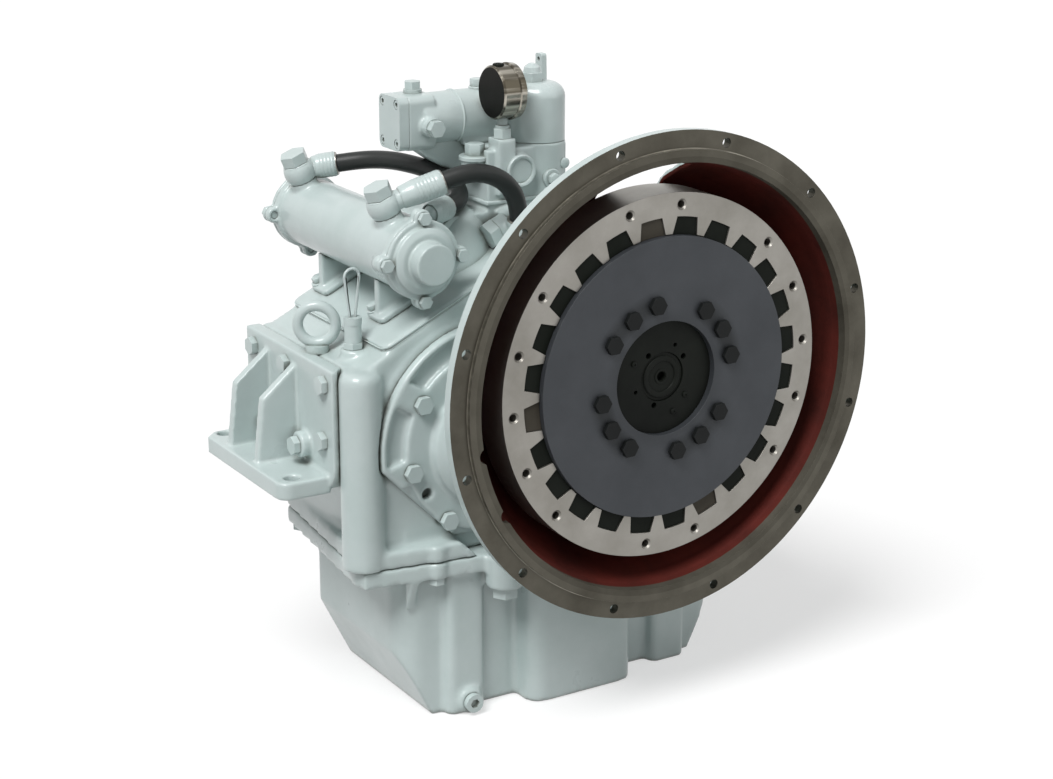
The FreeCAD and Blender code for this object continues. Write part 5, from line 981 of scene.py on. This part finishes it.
def studio():
    """Pale floor and walls that look white to the camera, with soft light from above and the left."""
    world = bpy.data.worlds.new("studio_world")
    bpy.context.scene.world = world
    world.use_nodes = True
    tree = world.node_tree
    background = tree.nodes["Background"]
    background.inputs["Color"].default_value = WHITE
    tree.links.new(ramp(tree, seen_directly(tree), 0, 1, AMBIENT, 1.0), background.inputs["Strength"])

    form = bmesh.new()
    bmesh.ops.create_grid(form, x_segments=1, y_segments=1, size=FLOOR_REACH)
    floor = linked("floor", mesh_of(form, "floor"))
    floor.location = (0, 0, cad_box[0].z)
    material, tree, shader = finish_material("pale_floor")
    brightness = ramp(tree, seen_directly(tree), 0, 1, FLOOR_BOUNCE, FLOOR_SEEN)
    tree.links.new(mixed(tree, brightness, (0, 0, 0, 1), WHITE), shader.inputs["Base Color"])
    shader.inputs["Emission Color"].default_value = WHITE
    tree.links.new(ramp(tree, seen_directly(tree), 0, 1, 0, FLOOR_GLOW), shader.inputs["Emission Strength"])
    shader.inputs["Roughness"].default_value = 0.9
    shader.inputs["Specular IOR Level"].default_value = 0.0
    floor.data.materials.append(material)
    lamp("key", (-1.9, -1.0, 3.0), 2.9, 28)
    lamp("fill", (2.2, -3.0, 1.6), 0.35, 50)
    bpy.context.scene.view_settings.view_transform = "Standard"


# Finishes and details of the pieces that stand for nodes

# Voxel size of each casting's skin, in millimetres
CASTINGS = {"gear_case": 3.4, "oil_sump": 3.0, "left_mounting_foot": 1.8, "right_mounting_foot": 2.4,
            "oil_manifold": 1.8, "control_valve_body": 1.5, "cooler_front_cap": 1.3, "cooler_rear_cap": 1.6,
            "hose_fittings": 1.3, "cooler_brackets": 1.6, "oil_pump_body": 2.0, "cooler_shell": 2.0}

# Finish of each machined piece, and the width of its broken edges in millimetres
EDGED = {
    "foot_bolts": (PAINT_SMALL, 1.0), "bell_bolts": (PAINT_SMALL, 1.0), "sump_bolts": (PAINT_SMALL, 1.0),
    "cover_bolts": (PAINT_SMALL, 1.0), "cooler_bolts": (PAINT_SMALL, 0.6), "banjo_bolts": (PAINT_SMALL, 1.2),
    "pipe_plugs": (PAINT_SMALL, 0.8), "valve_end_cover": (PAINT_SMALL, 0.8), "oil_filter_bowl": (PAINT, 0.8),
    "filter_dome_nut": (PAINT_SMALL, 0.8), "gauge_adapter": (PAINT_SMALL, 0.6),
    "control_lever": (PAINT_SMALL, 0.8), "lifting_eyes": (PAINT_SMALL, 0.8),
    "dipstick_tube": (PAINT_SMALL, 0.8), "dipstick": (PAINT_SMALL, 0.3), "breather": (PAINT_SMALL, 0.8),
    "output_bearing_cover": (PAINT, 1.0), "input_bearing_cover": (PAINT, 1.0),
    "transmission_rear_cover": (PAINT, 1.0), "drive_ring": (RING_METAL, 1.1),
    "coupling_disc": (DISC_METAL, 0.6), "coupling_hub": (BLACK_STEEL, 0.5), "input_shaft": (BLACK_STEEL, 1.0),
    "coupling_bolts": (BOLT_STEEL, 1.7), "output_flange": (WORKED_STEEL, 0.8),
    "output_nut": (WORKED_STEEL, 1.0), "gauge_case": (POLISHED, 0.4),
    "valve_cover_screws": (PAINT_SMALL, 0.3), "rubber_blocks": (BLOCK_RUBBER, 2.8),
}

# Finish of the pieces that keep the node's own mesh, where it isn't worked steel
PLAIN = {"gauge_dial": DIAL_FACE, "gauge_lens": GLASS, "gauge_needle": POINTER_WHITE,
         "cooler_tube_bundle": BRASS, "suction_strainer": BRASS}
REPLACED = {*CASTINGS, *EDGED, "rear_oil_hose", "front_oil_hose", "bell_housing"}

OLD_BLOCK_ANGLES = (92.6, -173.8, -69.7)
BLOCK_PITCH = 15.0


def older_blocks():
    """Three of the rubber blocks are older, and browner than the rest."""
    blocks = bpy.data.objects["rubber_blocks_finished"].data
    blocks.materials.append(OLD_BLOCK_RUBBER)
    for face in blocks.polygons:
        angle = math.degrees(math.atan2(face.center.z, face.center.x))
        apart = [abs((angle - old + 180) % 360 - 180) for old in OLD_BLOCK_ANGLES]
        if min(apart) < BLOCK_PITCH / 2:
            face.material_index = 1


# Holes of the ring (angles) and of the hub (circle, angle, radius), and the hub's screws (circle,
# angle), in millimetres and degrees
RING_HOLES = [4.3 + 20 * i for i in range(18) if i not in (3, 6, 12, 15)]
RING_HOLE_CIRCLE = 193.2
RING_HOLE = 4.6
RING_HOLE_MOUTH = 6.4
MOUTH_DEPTH = 2.0
BORE_DEPTH = 9
SHAFT_HOLE = 5.5
HUB_HOLES = [(32.6, 125, 3.4), (34.0, 35, 3.4), (33.0, -108, 3.4), (38.0, 64, 2.4), (37.0, -160, 2.4)]
HUB_SCREWS = [(40.0, -39), (43.0, 152), (45.0, -70)]


def cut_from(piece, form):
    """Cuts the shapes of a bmesh out of a piece."""
    bmesh.ops.recalc_face_normals(form, faces=form.faces)
    drill = linked("drill", mesh_of(form, "drill"))
    cut = piece.modifiers.new("holes", "BOOLEAN")
    cut.operation = "DIFFERENCE"
    cut.solver = "EXACT"
    cut.object = drill
    settled(piece)
    bpy.data.objects.remove(drill)


def bored(piece, holes, face_y, depth, segments):
    """Holes (x, z, radius at the bottom, radius at the mouth) in millimetres, in a piece's front face."""
    form = bmesh.new()
    for x, z, bottom, mouth in holes:
        place = Matrix.Translation(Vector((x * MM, face_y, z * MM)))
        bmesh.ops.create_cone(form, cap_ends=True, segments=segments, radius1=bottom * MM,
                              radius2=(2 * mouth - bottom) * MM, depth=2 * depth * MM,
                              matrix=place @ Matrix.Rotation(math.radians(90), 4, "X"))
    cut_from(piece, form)


def hub_details():
    """Threaded holes in the hub, small screws beside them, and the collar on the shaft's end."""
    pieces = bpy.data.objects
    mouths = [(*round_the_axis(RING_HOLE_CIRCLE, angle), RING_HOLE, RING_HOLE_MOUTH) for angle in RING_HOLES]
    bored(pieces["drive_ring_finished"], mouths, RING_FACE_Y, MOUTH_DEPTH, 32)
    threads = [(*round_the_axis(radius, angle), hole, hole) for radius, angle, hole in HUB_HOLES]
    bored(pieces["coupling_hub_finished"], threads, HUB_FACE_Y, BORE_DEPTH, 24)
    centre = [(0, 0, SHAFT_HOLE, SHAFT_HOLE)]
    bored(pieces["input_shaft_finished"], centre, SHAFT_FACE_Y, BORE_DEPTH, 24)
    form = bmesh.new()
    shaft_face = (0, SHAFT_FACE_Y / MM, 0)
    collar = [(-1, 17), (-1, 24), (1.0, 24), (1.8, 23.2), (1.8, 18.4), (1.0, 17.4), (-1, 17)]
    turned_form(form, collar, shaft_face, FORWARD)
    rim = [(-1, 5.8), (-1, 9), (0.8, 8.6), (1.2, 7.6), (0.8, 6.2), (-1, 5.8)]
    turned_form(form, rim, shaft_face, FORWARD)
    screw = [(-1, 0), (-1, 3.4), (1.6, 3.4), (2.4, 2.6), (2.6, 1.4), (1.8, 1.2), (1.8, 0)]
    for radius, angle in HUB_SCREWS:
        x, z = round_the_axis(radius, angle)
        turned_form(form, screw, (x, HUB_FACE_Y / MM, z), FORWARD, 24)
    finished(form, "hub_details", BLACK_STEEL, NODE_BODY["input_shaft"])


def dark_gauge_back():
    """The flat back of the gauge's case is dark, and its stem is painted."""
    case = bpy.data.objects["gauge_case_finished"].data
    for material in (DARK_POLISHED, PAINT_SMALL):
        case.materials.append(material)
    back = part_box("gauge_case")[0].x + BACK_THICKNESS * MM
    for face in case.polygons:
        if face.normal.x < -0.9 and face.center.x < back:
            face.material_index = 1
        if face.center.z < CASE_LOWEST_Z * MM:
            face.material_index = 2


# Building the object: camera and hoses first, then castings, machined pieces and what is new

photo_camera()
hose("rear_oil_hose", REAR_ROUTE)
hose("front_oil_hose", FRONT_ROUTE)
studio()
for node, voxel in CASTINGS.items():
    cast_piece(node, PAINT, voxel)
bell_pieces()
for node, (material, width) in EDGED.items():
    edged_piece(node, material, width)
older_blocks()
hub_details()
dark_gauge_back()
hose_end_rings()
banjo_eyes()
bracket_bolts()
manifold_details()
manifold_castings()
notch_backs()
pad_gasket()
gauge_fill_plug()
dial_scale()
for node, thing in nodes.items():
    if node not in REPLACED:
        for slot in thing.material_slots:
            slot.material = PLAIN.get(node, WORKED_STEEL)
